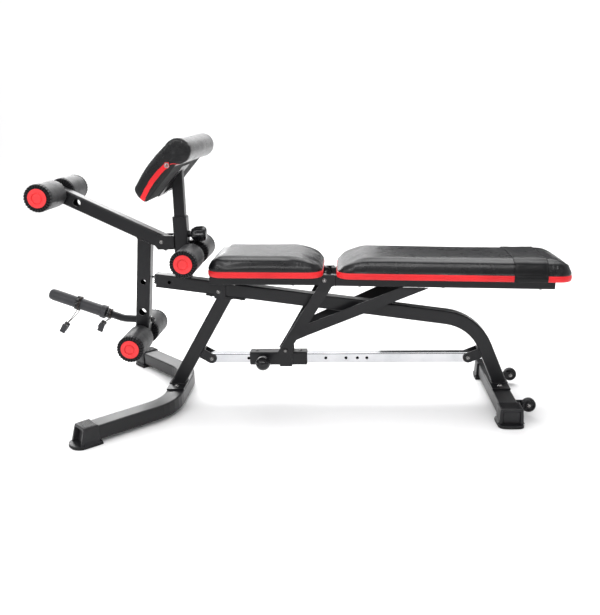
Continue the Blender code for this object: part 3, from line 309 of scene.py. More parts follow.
def pipe(path, radius, sides):
    """Round bar along points. radius is a number or a function of the share of the way along."""
    path = [Vector(p) for p in path]
    points, last, end = [], None, len(path) - 1
    for i, here in enumerate(path):
        along = (path[min(i + 1, end)] - path[max(i - 1, 0)]).normalized()
        side = last - along * last.dot(along) if last else along.orthogonal()
        side.normalize()
        last, up = side, along.cross(side)
        r = radius(i / end) if callable(radius) else radius
        for k in range(sides):
            a = TAU * k / sides
            points.append(tuple(here + side * (r * math.cos(a)) + up * (r * math.sin(a))))
    return points, grid_faces(len(path), sides)


def slab(outline, low, high):
    """Flat shape in local xy between two heights."""
    points = [(x, y, z) for z in (low, high) for x, y in outline]
    return points, grid_faces(2, len(outline))


def brick(low, high):
    outline = [(low[0], low[1]), (high[0], low[1]), (high[0], high[1]), (low[0], high[1])]
    return slab(outline, low[2], high[2])


def placed(place, *pairs):
    """(shape, material) pairs moved to a place."""
    return [(moved(shape, place), material) for shape, material in pairs]


def new_mesh(name, points, faces, *materials):
    mesh = bpy.data.meshes.new(name)
    mesh.from_pydata(points, [], faces)
    for material in materials:
        mesh.materials.append(material)
    return mesh


def new_object(name, data):
    obj = bpy.data.objects.new(name, data)
    bpy.context.scene.collection.objects.link(obj)
    return obj


def dress(obj, body, stands_for=()):
    """The body that an object rides on, and the CAD nodes that it replaces."""
    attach(obj, body)
    if stands_for:
        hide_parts(*stands_for)
    return obj


def piece(name, parts, body, stands_for=(), bevel=0.0, angle=35):
    """One object from several (shape, material) pairs, with outward faces and softened edges."""
    points, faces, marks, mats = [], [], [], []
    for (shape_points, shape_faces), mat in parts:
        if mat not in mats:
            mats.append(mat)
        base = len(points)
        points += shape_points
        faces += [tuple(base + v for v in f) for f in shape_faces]
        marks += [mats.index(mat)] * len(shape_faces)
    mesh = new_mesh(name, points, faces, *mats)
    mesh.polygons.foreach_set("material_index", marks)
    work = bmesh.new()
    work.from_mesh(mesh)
    bmesh.ops.recalc_face_normals(work, faces=work.faces)
    if bevel:
        sharp = [e for e in work.edges if e.is_manifold and e.calc_face_angle(0) > math.radians(angle)]
        bmesh.ops.bevel(work, geom=sharp, offset=bevel, segments=2, affect="EDGES", clamp_overlap=True)
    work.to_mesh(mesh)
    work.free()
    mesh.shade_smooth()
    mesh.set_sharp_from_angle(angle=math.radians(angle))
    return dress(new_object(name, mesh), body, stands_for)


# ---------------------------------------------------------------- places: some from the CAD nodes and joints, the rest given as numbers
def centre_of(node):
    low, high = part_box(node)
    return (low + high) / 2


def joint_place(name):
    return Vector(next(j["pos_m"] for j in frame["joints"] if j["name"] == name))


LEVER_PIVOT = joint_place("lever_swing")
TOP, LOW, THIGH = (centre_of(f"{n}_roller_tube") for n in ("top", "low", "thigh"))
POST_X = centre_of("sleeve_bushing").x
TUBE = 0.045
ARM_DIRECTION = (TOP - LEVER_PIVOT).normalized()
LEG_DIRECTION = Vector((math.sin(math.radians(5.7)), 0, math.cos(math.radians(5.7))))
BEAM_START, BEAM_START_Z = -0.465, 0.421
BEAM_DROP = math.atan2(BEAM_START_Z - 0.2751, 0.5699 - BEAM_START)
BEAM_HALF = TUBE / 2 / math.cos(BEAM_DROP)
SEAT_TILT, BACK_TILT = math.radians(1.0), math.radians(1.5)
RAIL_Y = 0.058


def beam_height(x):
    """Height of the beam's centre line."""
    return BEAM_START_Z - math.tan(BEAM_DROP) * (x - BEAM_START)


def seat_rail(x):
    """Height of the seat rails' top."""
    return 0.4463 - math.tan(SEAT_TILT) * (x - 0.086)


def back_rail(x):
    """Height of the back rails' top."""
    return 0.4355 - math.tan(BACK_TILT) * (x - 0.45)


# ---------------------------------------------------------------- CAD nodes that keep their shape
def finish_frame_nodes():
    """A worked material on every CAD node that stays."""
    special = {"adjuster_bar": CHROME, "stop_bumper": DARK_ZINC, "plate_sleeve": PLASTIC,
        "preacher_board": BACKING}
    for name, obj in frame["nodes"].items():
        if name in special:
            coat = special[name]
        elif "bushing" in name or "cap" in name or name.startswith("wheel_") and "axle" not in name:
            coat = PLASTIC
        elif "bolt" in name or "axle" in name:
            coat = DARK_ZINC
        else:
            coat = COAT
        for s in obj.material_slots:
            s.link = "OBJECT"
            s.material = coat
        if not obj.material_slots:
            obj.data.materials.append(coat)


# ---------------------------------------------------------------- cushions
def plan_ring(length, half, radius, inset, long_n, short_n, corner_n):
    """Points of a rounded rectangle, inset, starting at the middle of the +x end, anticlockwise."""
    a, b = length / 2 - inset, half - inset
    r = max(min(radius - inset, b, a), 0.0015)
    out = []

    def run(p, q, n, first):
        for i in range(first, n):
            t = i / n
            out.append((p[0] + (q[0] - p[0]) * t, p[1] + (q[1] - p[1]) * t))

    def turn(cx, cy, start):
        for i in range(corner_n):
            t = start + math.pi / 2 * i / corner_n
            out.append((cx + r * math.cos(t), cy + r * math.sin(t)))

    run((a, 0.0), (a, b - r), short_n, 0)
    turn(a - r, b - r, 0.0)
    run((a - r, b), (r - a, b), long_n, 0)
    turn(r - a, b - r, math.pi / 2)
    run((-a, b - r), (-a, 0.0), short_n, 0)
    run((-a, 0.0), (-a, r - b), short_n, 0)
    turn(r - a, r - b, math.pi)
    run((r - a, -b), (a - r, -b), long_n, 0)
    turn(a - r, r - b, 1.5 * math.pi)
    run((a, r - b), (a, 0.0), short_n, 0)
    return out


def soft_step(x):
    x = min(1.0, max(0.0, x))
    return x * x * (3 - 2 * x)


BAND = 0.0196  # height of the red band round a cushion
HEM = 0.0055  # width of the head sleeve's sewn edge


def cushion_mesh(name, length, half, height, radius, ends):
    """Closed cushion, base at z = 0. ends is (reach, share) of the top's fall at -x and at +x."""

    def lift(x, z):
        share = 1.0
        for distance, (reach, low) in ((x + length / 2, ends[0]), (length / 2 - x, ends[1])):
            t = min(1.0, max(0.0, distance / reach))
            share = min(share, low + (1 - low) * (1 - (1 - t) ** 2) ** 0.85)
        base = BAND + 0.002
        return z if z <= base else base + (z - base) * share

    # (inset, height) of each ring: underside, red band, wall, shoulder, top
    levels = [(0.100, 0.0), (0.060, 0.0), (0.030, 0.0), (0.010, 0.0), (0.0035, 0.0), (0.0010, 0.0010),
        (0.0, 0.0035)]
    levels += [(-0.0007, 0.008), (-0.0010, 0.0115), (-0.0007, 0.0160), (0.0002, 0.0186), (0.0022, BAND)]
    under_rings, band_rings = 4, len(levels) - 1
    shoulder, wall_top, wall_inset = 0.014, height - 0.0145, 0.0060
    levels += [(0.0010, BAND + 0.0018), (0.0, BAND + 0.005)]
    for i in range(1, 5):
        t = i / 4
        levels.append((wall_inset * t * t, BAND + 0.005 + (wall_top - BAND - 0.005) * t))
    for i in range(1, 6):
        a = math.pi / 2 * i / 5
        levels.append((wall_inset + shoulder * (1 - math.cos(a)),
            wall_top + (shoulder - 0.0045) * math.sin(a)))
    for d in [0.0255, 0.031] + [0.038 + 0.008 * i for i in range(11)] + [0.125]:
        levels.append((d, height - 0.0045 + 0.0035 * (1 - (1 - d / half) ** 2)))
    points = []
    for d, z in levels:
        ring = plan_ring(length, half, radius, d, max(8, round(length / 0.0055)), 22, 7)
        points += [(x, y, lift(x, z)) for x, y in ring]
    size, rows = len(ring), len(levels)
    faces = grid_faces(rows, size)[:-2]
    marks = [2 if k < under_rings else 1 if k < band_rings else 0 for k in range(rows - 1)]
    marks = [mark for mark in marks for _ in range(size)]
    for start, mark in ((0, 2), ((rows - 1) * size, 0)):
        for i in range(size // 2):
            face = [start + i, start + i + 1, start + (size - i - 1) % size, start + (size - i) % size]
            unique = list(dict.fromkeys(face))
            if len(unique) > 2:
                faces.append(tuple(unique if start else reversed(unique)))
                marks.append(mark)
    mesh = new_mesh(name, points, faces, VINYL, RED_VINYL, BACKING)
    mesh.polygons.foreach_set("material_index", marks)
    return mesh


def inflate(obj, pinned, cap, pressure=4.0, frames=20):
    """Short cloth run on obj. pinned is a function of a local point, 0 to 1; no point moves more than cap."""
    mesh = obj.data
    before = np.array([v.co for v in mesh.vertices])
    held = np.array([min(1.0, max(0.0, pinned(v.co))) for v in mesh.vertices])
    group = obj.vertex_groups.new(name="pin")
    for index, weight in enumerate(held):
        group.add([index], float(weight), "REPLACE")
    cloth = obj.modifiers.new("cloth", "CLOTH")
    settings = cloth.settings
    settings.quality = 4
    settings.vertex_group_mass = "pin"
    settings.use_pressure = True
    settings.uniform_pressure_force = pressure
    settings.effector_weights.gravity = 0.0
    settings.tension_stiffness = settings.compression_stiffness = 12
    settings.bending_stiffness = 0.6
    cloth.collision_settings.use_collision = False
    cloth.point_cache.frame_start, cloth.point_cache.frame_end = 1, frames
    scene = bpy.context.scene
    for f in range(1, frames + 1):
        scene.frame_set(f)
    result = obj.evaluated_get(bpy.context.evaluated_depsgraph_get())
    shift = np.array([v.co for v in result.to_mesh().vertices]) - before
    result.to_mesh_clear()
    obj.modifiers.clear()
    obj.vertex_groups.clear()
    scene.frame_set(1)
    shift = evened(mesh, shift) * (1 - held[:, None])
    size = np.linalg.norm(shift, axis=1, keepdims=True)
    shift *= np.minimum(1.0, cap / np.maximum(size, 1e-9))
    mesh.vertices.foreach_set("co", (before + shift).ravel())
    mesh.update()


def evened(mesh, shift, rounds=6):
    """Each vertex's shift averaged with its neighbours'."""
    pairs = np.empty(len(mesh.edges) * 2, dtype=int)
    mesh.edges.foreach_get("vertices", pairs)
    near, far = pairs.reshape(-1, 2).T
    for _ in range(rounds):
        total, count = shift.copy(), np.ones((len(shift), 1))
        for one, other in ((near, far), (far, near)):
            np.add.at(total, one, shift[other])
            np.add.at(count, one, 1)
        shift = total / count
    return shift


def displaced(mesh, offset):
    """Moves each vertex along its normal by offset(point)."""
    moves = [(v.index, v.normal.copy() * offset(v.co)) for v in mesh.vertices]
    for index, move in moves:
        mesh.vertices[index].co += move
    mesh.update()


def noise_at(point, scale, seed=0.0):
    return noise.noise(Vector((point[0] * scale + seed, point[1] * scale - seed,
        point[2] * scale + 2 * seed)))


def cushion_wrinkles(length, half, ends, seed):
    """Gathers in the cover's side where the top falls, and slow dents over the top."""

    def offset(p):
        if p.z < BAND + 0.001:
            return 0.00025 * noise_at(p, 22.0, seed)
        amount = 0.0005 * noise_at(p, 9.0, seed) + 0.00012 * noise_at(p, 40.0, seed + 3)
        side = soft_step(abs(p.y) / half * 4 - 2.75)
        high = soft_step((p.z - BAND) / 0.012) * soft_step((0.064 - p.z) / 0.018)
        for distance, (reach, _) in ((p.x + length / 2, ends[0]), (length / 2 - p.x, ends[1])):
            near = math.exp(-(((distance - reach * 0.62) / (reach * 0.36)) ** 2))
            fold = math.sin(distance * 520 + 3.1 * noise_at(p, 40.0, seed))
            fold *= 0.6 + 0.4 * noise_at(p, 60.0, seed + 7)
            corner = math.exp(-((distance / 0.030) ** 2)) * side
            turn = math.atan2(abs(p.y) - half + 0.03, distance + 0.012)
            amount += 0.00125 * fold * near * side * high + 0.0007 * corner * math.sin(20 * turn + seed)
        return amount

    return offset


def add_subdivision(obj):
    sub = obj.modifiers.new("smooth", "SUBSURF")
    sub.levels = sub.render_levels = 1
    sub.boundary_smooth = "PRESERVE_CORNERS"


def make_cushion(name, node, body, tilt, ends, seed, shorter=0.0):
    """Seat or back cushion in place of its CAD solid."""
    low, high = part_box(node)
    half = (high.y - low.y) / 2
    solid, height, radius, fullness = 0.0600, 0.0655, 0.046, 0.0042
    length = (high.x - low.x - solid * math.sin(tilt)) / math.cos(tilt) - 0.001 - shorter
    mesh = cushion_mesh(name, length, half - 0.001, height, radius, ends)
    obj = new_object(name, mesh)
    inflate(obj, lambda p: 1.0 if p.z < BAND + 0.0005 else 0.35 if p.z < BAND + 0.004 else 0.0, fullness)
    displaced(mesh, cushion_wrinkles(length, half, ends, seed))
    place = tilted(centre_of(node) * Vector((1, 0, 1)), -tilt)
    place = place @ Matrix.Translation((shorter / 2, 0, -solid / 2 + 0.0002))
    mesh.transform(place)
    mesh.shade_smooth()
    return dress(obj, body, (node,)), place


SEAT_ENDS = ((0.034, 0.60), (0.105, 0.30))
BACK_ENDS = ((0.105, 0.22), (0.070, 0.72))


def make_wrap_band(back, place):
    """Vinyl sleeve round the head end, with hemmed edges."""
    local = place.inverted()
    start, end = ((local @ Vector((x, 0, 0.46))).x for x in (0.6635, 0.7640))
    seams = (start + HEM, end - HEM)
    work = bmesh.new()
    work.from_mesh(back.data)
    bmesh.ops.transform(work, verts=work.verts, matrix=local)
    for x in (start, *seams, end):
        bmesh.ops.bisect_plane(
            work, geom=work.verts[:] + work.edges[:] + work.faces[:], plane_co=(x, 0, 0), plane_no=(1, 0, 0),
            dist=1e-5, clear_inner=x == start, clear_outer=x == end,
        )
    under = [f for f in work.faces if f.normal.z < -0.6 and f.calc_center_median().z < 0.003]
    bmesh.ops.delete(work, geom=under, context="FACES")
    work.normal_update()
    shifts = {}
    for v in work.verts:
        groove = max(math.exp(-(((v.co.x - x) / 0.0010) ** 2)) for x in seams)
        ripple = 0.0007 * noise_at(v.co, 30.0, 5.0) + 0.0004 * noise_at(v.co, 75.0, 9.0)
        shifts[v] = v.normal * (0.0013 + ripple - 0.0007 * groove)
    for v, shift in shifts.items():
        v.co += shift
        v.co.z = max(v.co.z, 0.0006)
    bmesh.ops.transform(work, verts=work.verts, matrix=place)
    mesh = bpy.data.meshes.new("head_sleeve")
    work.to_mesh(mesh)
    work.free()
    mesh.materials.clear()
    mesh.materials.append(SLEEVE_VINYL)
    mesh.polygons.foreach_set("material_index", [0] * len(mesh.polygons))
    mesh.shade_smooth()
    obj = dress(new_object("head_sleeve", mesh), "back")
    shell = obj.modifiers.new("thickness", "SOLIDIFY")
    shell.thickness, shell.offset = 0.0016, 1.0
    return obj


# ---------------------------------------------------------------- curl pad
PAD_TILT = math.radians(48.5)
PAD_LOW = Vector((-0.435, 0, 0.698))
PAD_PLACE = tilted(PAD_LOW, PAD_TILT)
ROLL = (0.181, 0.017, 0.0388)  # along, out, radius
CURL_TOP = [(-0.0012, 0.004), (-0.0022, 0.014), (-0.0016, 0.024), (0.0015, 0.038), (0.006, 0.0475),
    (0.014, 0.0520)]
CURL_TOP += [(0.028, 0.0550), (0.050, 0.0585), (0.080, 0.0605), (0.110, 0.0608), (0.138, 0.0590),
    (0.160, 0.0575)]


def curl_outline():
    """Closed outline in (along, out): low end, top, round the roll, and back over the board."""
    x, z, radius = ROLL
    angles = [math.radians(84 - 250 / 14 * i) for i in range(15)]
    out = CURL_TOP + [(x + radius * math.cos(a), z + radius * math.sin(a)) for a in angles]
    return out + [(0.1435, -0.0030), (0.1400, -0.0028), (0.10, -0.0028), (0.06, -0.0028), (0.02, -0.0028),
        (0.0015, -0.0024)]


def curl_folds(half):
    """Gathers round the roll's ends and along the strip, and faint ridges over the slope."""

    def offset(p):
        if p.z < 0.0015 and p.x < 0.139:
            return 0.0
        amount = 0.0006 * noise_at(p, 16.0, 2.0) + 0.0003 * noise_at(p, 48.0, 4.0)
        edge = soft_step((abs(p.y) - half + 0.022) / 0.018)
        around = math.atan2(p.z - ROLL[1], p.x - ROLL[0])
        near = math.exp(-(((p.x - ROLL[0]) / 0.045) ** 2))
        fold = math.sin(around * 26 + 2.5 * noise_at(p, 50.0, 1.0))
        amount += 0.0019 * edge * near * fold * (0.5 + 0.5 * noise_at(p, 70.0, 6.0))
        lower = soft_step((0.03 - p.z) / 0.02) * math.exp(-(((p.x - 0.165) / 0.03) ** 2))
        amount += 0.0006 * edge * lower * math.sin(p.x * 900 + p.z * 700)
        ridge = math.sin(p.x * 340 + 1.5 * noise_at(p, 20.0, 8.0)) * (1 - edge)
        return amount + 0.00012 * ridge * soft_step((0.10 - p.x) / 0.05)

    return offset


def make_curl_pad():
    """Slanted pad with a roll at its upper edge, its cover drawn round the board."""
    low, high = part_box("preacher_pad")
    half = (high.y - low.y) / 2 - 0.004
    outline, points = curl_outline(), []
    # (place across, size of the outline) of each section, rounded at the ends
    levels = [(-half, 0.62), (-half, 0.86), (-half + 0.0008, 0.93), (-half + 0.0035, 0.972),
        (-half + 0.0085, 1.0)]
    levels += [(-half + 0.0085 + (half - 0.0085) * i / 6, 1.0) for i in range(1, 7)]
    levels += [(-y, s) for y, s in reversed(levels[:-1])]
    for y, share in levels:
        for a, o in outline:
            t = min(max(a, 0.03), ROLL[0])
            core = 0.027 + (ROLL[1] - 0.027) * soft_step((t - 0.10) / 0.08)
            points.append((t + (a - t) * share, y, core + (o - core) * share))
    faces = grid_faces(len(levels), len(outline))
    obj = new_object("curl_cushion", new_mesh("curl_cushion", points, faces))
    remesh = obj.modifiers.new("remesh", "REMESH")
    remesh.mode, remesh.voxel_size = "VOXEL", 0.0042
    smooth = obj.modifiers.new("smooth", "CORRECTIVE_SMOOTH")
    smooth.iterations, smooth.use_only_smooth = 4, True
    graph = bpy.context.evaluated_depsgraph_get()
    mesh = bpy.data.meshes.new_from_object(obj.evaluated_get(graph))
    obj.modifiers.clear()
    obj.data = mesh

    def pin(p):
        board = 1 - soft_step((p.z - 0.015) / 0.012 if p.x < 0.150 else (p.x - 0.140) / 0.03)
        return max(board, 0.75 if abs(p.y) > half - 0.001 else 0.0)

    inflate(obj, pin, 0.0038)
    displaced(mesh, curl_folds(half))
    cut_strip(mesh)
    mesh.transform(PAD_PLACE)
    mesh.shade_smooth()
    dress(obj, "preacher", ("preacher_pad", "preacher_board"))
    add_subdivision(obj)
    return obj, half


STRIP = [(-0.001, 0.0105), (0.0331, 0.0178), (0.068, 0.0215), (0.1021, 0.0206), (0.1286, 0.0165)]
STRIP_HALF = 0.0072


def cut_strip(mesh):
    """Red strip low on the sides: cuts along its bowed edges, then the red cover on the faces between."""
    work = bmesh.new()
    work.from_mesh(mesh)
    spans = list(zip(STRIP, STRIP[1:]))
    for edge in (-STRIP_HALF, STRIP_HALF):
        for (a0, o0), (a1, o1) in spans:
            direction = Vector((a1 - a0, 0, o1 - o0)).normalized()
            normal = Vector((-direction.z, 0, direction.x))
            middles = ((f, f.calc_center_median()) for f in work.faces)
            near = [f for f, c in middles if a0 - 0.004 < c.x < a1 + 0.004 and c.z < 0.036]
            verts = {v for f in near for v in f.verts}
            edges = {e for f in near for e in f.edges}
            bmesh.ops.bisect_plane(
                work, geom=list(verts) + list(edges) + near, plane_co=Vector((a0, 0, o0)) + normal * edge,
                plane_no=normal, dist=1e-5,
            )
    for face in work.faces:
        c, down = face.calc_center_median(), face.normal.z < -0.7
        face.material_index = 2 if down and c.x < 0.142 and c.z < 0.004 else 0
        if c.x > STRIP[-1][0] or c.z > 0.034 or down:
            continue
        for (a0, o0), (a1, o1) in spans:
            line = o0 + (o1 - o0) * (c.x - a0) / (a1 - a0)
            if (a0 if a0 > 0 else -0.01) <= c.x < a1 + 1e-6 and abs(c.z - line) < STRIP_HALF * 1.02:
                face.material_index = 1
    mesh.materials.clear()
    for mat in (VINYL, RED_VINYL, BACKING):
        mesh.materials.append(mat)
    work.to_mesh(mesh)
    work.free()


def make_curl_details(pad, half):
    """Side tabs with their washers and bolts, and the red piping at the bend."""
    tree = BVHTree.FromObject(pad, bpy.context.evaluated_depsgraph_get())
    a0, o0 = 0.1286, 0.0158
    outline = [(-0.0125, -0.002), (-0.004, 0.0085), (0.003, 0.0100), (0.0115, 0.001), (0.004, -0.0085),
        (-0.004, -0.0085)]
    washer = lathe([(0.0030, 0.0), (0.0072, 0.0), (0.0076, 0.0006), (0.0060, 0.0020), (0.0030, 0.0022)], 32,
        ring=True)
    head = [(0.0, 0.0024), (0.0016, 0.0024), (0.0019, 0.0040), (0.0034, 0.0036), (0.0042, 0.0022),
        (0.0042, 0.0)]
    head = lathe(head + [(0.0, 0.0)], 24)

    for side, word in SIDES:

        def on_side(a, o, lift):
            start = PAD_PLACE @ Vector((a, side * 0.25, o))
            hit = tree.ray_cast(start, Vector((0, -side, 0)))[0]
            return (hit or PAD_PLACE @ Vector((a, side * half, o))) + Vector((0, side * lift, 0))

        tab = [
            tuple(on_side(a0 + a * share, o0 + o * share, lift))
            for share, lift in ((1.0, -0.0012), (0.9, 0.0012)) for a, o in outline
        ]
        parts = [((tab, grid_faces(2, len(outline))), RED_VINYL)]
        parts += placed(towards(on_side(a0, o0, 0.0012), (0, side, 0)), (washer, ZINC), (head, DARK_ZINC))
        piping = [
            on_side(0.1375 + t * 0.018, 0.0100 - t * 0.019 + 0.002 * math.sin(t * 5), 0.0003)
            for t in (i / 8 for i in range(9))
        ]
        parts.append((pipe(piping, lambda t: 0.0013 * (1 - 0.6 * t), 8), RED_VINYL))
        piece(f"curl_tab_{word}", parts, "preacher", bevel=0.0004)


# ---------------------------------------------------------------- rollers
INNER_RING = 0.0045  # room that the inner ring takes from the foam


def roller_foam_shape(length):
    """Foam sleeve about local z, with soft ends and faint dents."""
    half, big, bore = length / 2, 0.0424, 0.0128
    end = [(bore, half - 0.001), (big - 0.0055, half), (big - 0.0022, half - 0.0007),
        (big - 0.0004, half - 0.0030)]
    profile = end + [(big, half - 0.0065 - (2 * half - 0.013) * i / 16) for i in range(17)]
    profile += [(r, -h) for r, h in reversed(end)]

    def wave(r, h, a):
        if r < 0.03:
            return r, h
        spot = (math.cos(a) * 0.9, math.sin(a) * 0.9, h * 22)
        return r + 0.00035 * noise.noise(Vector(spot)) - 0.0001, h

    return lathe(profile, 72, wave, ring=True)


def ribbed_ring(inner, outer, depth, ribs=28):
    """Flat ring about local z whose outer part carries raised radial ribs, top at z = 0."""
    steps = ribs * 4

    def wave(r, h, a):
        raised = (int(round(a / TAU * steps)) % 4) < 2
        if inner + 0.0015 < r < outer - 0.0012 and h > -0.004:
            return r, h + (0.0011 if raised else -0.0032)
        if r >= outer - 0.0012 and h > -0.0045:
            return r - (0.0 if raised else 0.0026), h
        return r, h

    profile = [(inner, -depth), (inner, -0.0006), (inner + 0.0012, 0.0), (inner + 0.0020, -0.0004)]
    profile += [(outer - 0.0030, -0.0005), (outer - 0.0013, -0.0008), (outer - 0.0004, -0.0018),
        (outer, -0.0034)]
    profile.append((outer, -depth))
    return lathe(profile, steps, wave, ring=True)


RED_DISC = [
    (0.0, 0.0020), (0.0085, 0.0022), (0.0120, 0.0019), (0.0138, 0.0008), (0.0144, -0.0012), (0.0160, -0.0013),
    (0.0168, 0.0010), (0.0186, 0.0020), (0.0268, 0.0021), (0.0285, 0.0016), (0.0293, 0.0004),
        (0.0295, -0.0040),
    (0.0, -0.0040),
]


def make_rollers():
    """Foam, ribbed outer cap with its red disc, and a ribbed inner ring, on each side of three tubes."""
    boss = lathe([(0.0, -0.003), (0.0294, -0.003), (0.0294, -0.0095), (0.0, -0.0095)])
    plug = lathe([(0.0098, -0.010), (0.0098, -0.034), (0.0, -0.034), (0.0, -0.010)], 32)
    for name, centre in (("top", TOP), ("low", LOW), ("thigh", THIGH)):
        for side, word in SIDES:
            foam, cap, body = (f"{name}_{kind}_{word}" for kind in ("foam", "cap", "roller"))
            near, far = sorted(abs(corner.y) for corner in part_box(foam))
            near += INNER_RING
            face = max(abs(corner.y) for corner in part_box(cap)) - 0.0022

            def at(y, way):
                return towards(centre + Vector((0, side * y, 0)), (0, way, 0))

            skin = placed(at((near + far) / 2, side), (roller_foam_shape(far - near), FOAM))
            obj = piece(f"{foam}_skin", skin, body, (foam,), angle=60)
            rim = ribbed_ring(0.0290, 0.0428, face - far - 0.0006)
            parts = placed(at(face, side), (rim, PLASTIC), (boss, PLASTIC), (plug, PLASTIC),
                (lathe(RED_DISC, 96), RED))
            back = at(near - 0.0003, -side) @ Matrix.Translation((0, 0, 0.0042))
            parts += placed(back, (ribbed_ring(0.0134, 0.0420, 0.0040), PLASTIC))
            piece(f"{cap}_detail", parts, body, (cap,), angle=28)


# ---------------------------------------------------------------- foot caps, knobs, clips
def make_foot_cap(name):
    """Moulded cap: ribbed top, recessed end, and a sole that spreads into a rounded toe."""
    low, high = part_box(name)
    side = -1 if low.y + high.y < 0 else 1
    length, corner, foot, front = 0.055, 0.0045, 0.006, "front" in name
    if front:
        half, top, heading, ribs, recess, toe, bend = 0.0322, 0.0618, 135, 7, 0.0130, 0.0240, 0.85
        back = 0.044 / math.sqrt(2)
        mouth = Vector((-0.637 + back, side * (0.367 - back), 0))
    else:
        half, top, heading, ribs, recess, toe, bend = 0.0350, 0.0605, 90, 9, 0.0050, 0.0135, 0.55
        mouth = Vector((0.654, side * 0.181, 0))
    place = Matrix.Translation(mouth) @ Matrix.Rotation(side * math.radians(heading), 4, "Z")

    def section(x, h, t, lean):
        """Outline from one foot over the top to the other; a front cap's end leans outwards at the foot."""
        ring = [(-h - lean, foot)]
        for centre, start in ((corner - h, 180), (h - corner, 90)):
            for k in range(5):
                a = math.radians(start - 22.5 * k)
                ring.append((centre + corner * math.cos(a), t - corner + corner * math.sin(a)))
        ring.append((h + lean, foot))
        share = soft_step((x - 0.012) / 0.030) if front else 0.0
        return [(x + share * (0.0060 - 0.0150 * (z - foot) / (top - foot)), y, z) for y, z in ring]

    # (along, inset, drop, spread at the foot) of each section; the last two make the recess
    stations = [(0.0, 0.0006, 0.0006, 0.0022), (0.0012, 0, 0, 0.0022), (0.020, 0, 0, 0.0022)]
    stations += [(length - 0.010, 0, 0, 0.0022), (length - 0.0015, 0.0005, 0.0008, 0.0022)]
    stations += [(length, 0.0022, 0.0026, 0.0022), (length - 0.0004, 0.0075, 0.0085, -0.0005)]
    stations += [(length - recess, 0.0100, 0.0120, -0.0020)]
    rows = [section(x, half - inset, top - drop, lean) for x, inset, drop, lean in stations]
    parts = [((sum(rows, []), grid_faces(len(rows), len(rows[0]))), PLASTIC)]
    for x in (0.0035 + i * 0.0052 for i in range(ribs)):
        parts.append((brick((x, 0.0050 - half, top - 0.0015), (x + 0.0026, half - 0.0050, top + 0.0011)),
            PLASTIC))
    parts.append((brick((0.009, -half - 0.0004, 0.022), (0.040, -half + 0.001, 0.0228)), PLASTIC))
    wide, round_end = 0.0400, 0.034
    sole = [(-0.0070, -wide), (0.018, -wide - 0.0003)]
    for i in range(13):
        a = math.pi * (i / 12 - 0.5)
        across = math.copysign(abs(math.sin(a)) ** bend, math.sin(a))
        along = length + toe - round_end + round_end * max(math.cos(a), 0.0) ** bend
        sole.append((along, (wide - 0.0004) * across))
    sole += [(0.018, wide + 0.0003), (-0.0070, wide)]
    welt = [(x * 0.985 + 0.0004, y * 0.975) for x, y in sole]
    parts += [(slab(sole, 0.0004, 0.0062), RUBBER), (slab(welt, 0.0050, 0.0098), PLASTIC)]
    slope = [(-half - 0.0065, 0.0095), (-half + 0.001, 0.0095), (-half + 0.001, 0.021)]
    for sign in (-1, 1):
        fillet = [(x, sign * y, z) for x in (0.002, length - 0.006) for y, z in slope]
        parts.append(((fillet, grid_faces(2, 3)), PLASTIC))
    piece(f"{name}_detail", placed(place, *parts), "base", (name,), bevel=0.0005, angle=32)


def make_post_knob():
    """Seven-lobed hand knob on a short neck, with its threaded shank and lock nut."""
    low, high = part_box("post_knob")
    start = Vector((low.x + 0.0095, 0, (low.z + high.z) / 2))
    reach = high.x - start.x

    def wave(r, h, a):
        grip = soft_step((h - 0.006) / 0.014) * soft_step((reach + 0.003 - h) / 0.010)
        return (r + 0.0011 * math.cos(7 * a) * grip if r > 0.010 else r), h

    body = [(0.0, reach + 0.0020), (0.010, reach + 0.0017), (0.0170, reach + 0.0006),
        (0.0212, reach - 0.0018)]
    body += [(0.0234, reach - 0.0060), (0.0243, reach - 0.0120), (0.0240, 0.028), (0.0229, 0.021),
        (0.0208, 0.0140)]
    body += [(0.0182, 0.0085), (0.0155, 0.0048), (0.0115, 0.0034), (0.0088, 0.0030), (0.0088, 0.0),
        (0.0, 0.0)]
    shank = [(0.0, 0.001), (0.0039, 0.001)]
    for i in range(7):
        shank += [(0.0040, -0.0009 - i * THREAD), (0.0034, -0.0015 - i * THREAD)]
    shank += [(0.0032, -0.0094), (0.0, -0.0094)]
    ring = lathe([(0.0082, 0.0004), (0.0104, 0.0010), (0.0108, 0.0018), (0.0104, 0.0026), (0.0082, 0.0030)],
        32, ring=True)
    pairs = (lathe(body, 84, wave), GLOSS), (lathe(shank, 24), ZINC), (ring, ZINC)
    piece("post_knob_detail", placed(towards(start, (1, 0, 0)), *pairs), "post_knob",
        ("post_knob",), angle=40)


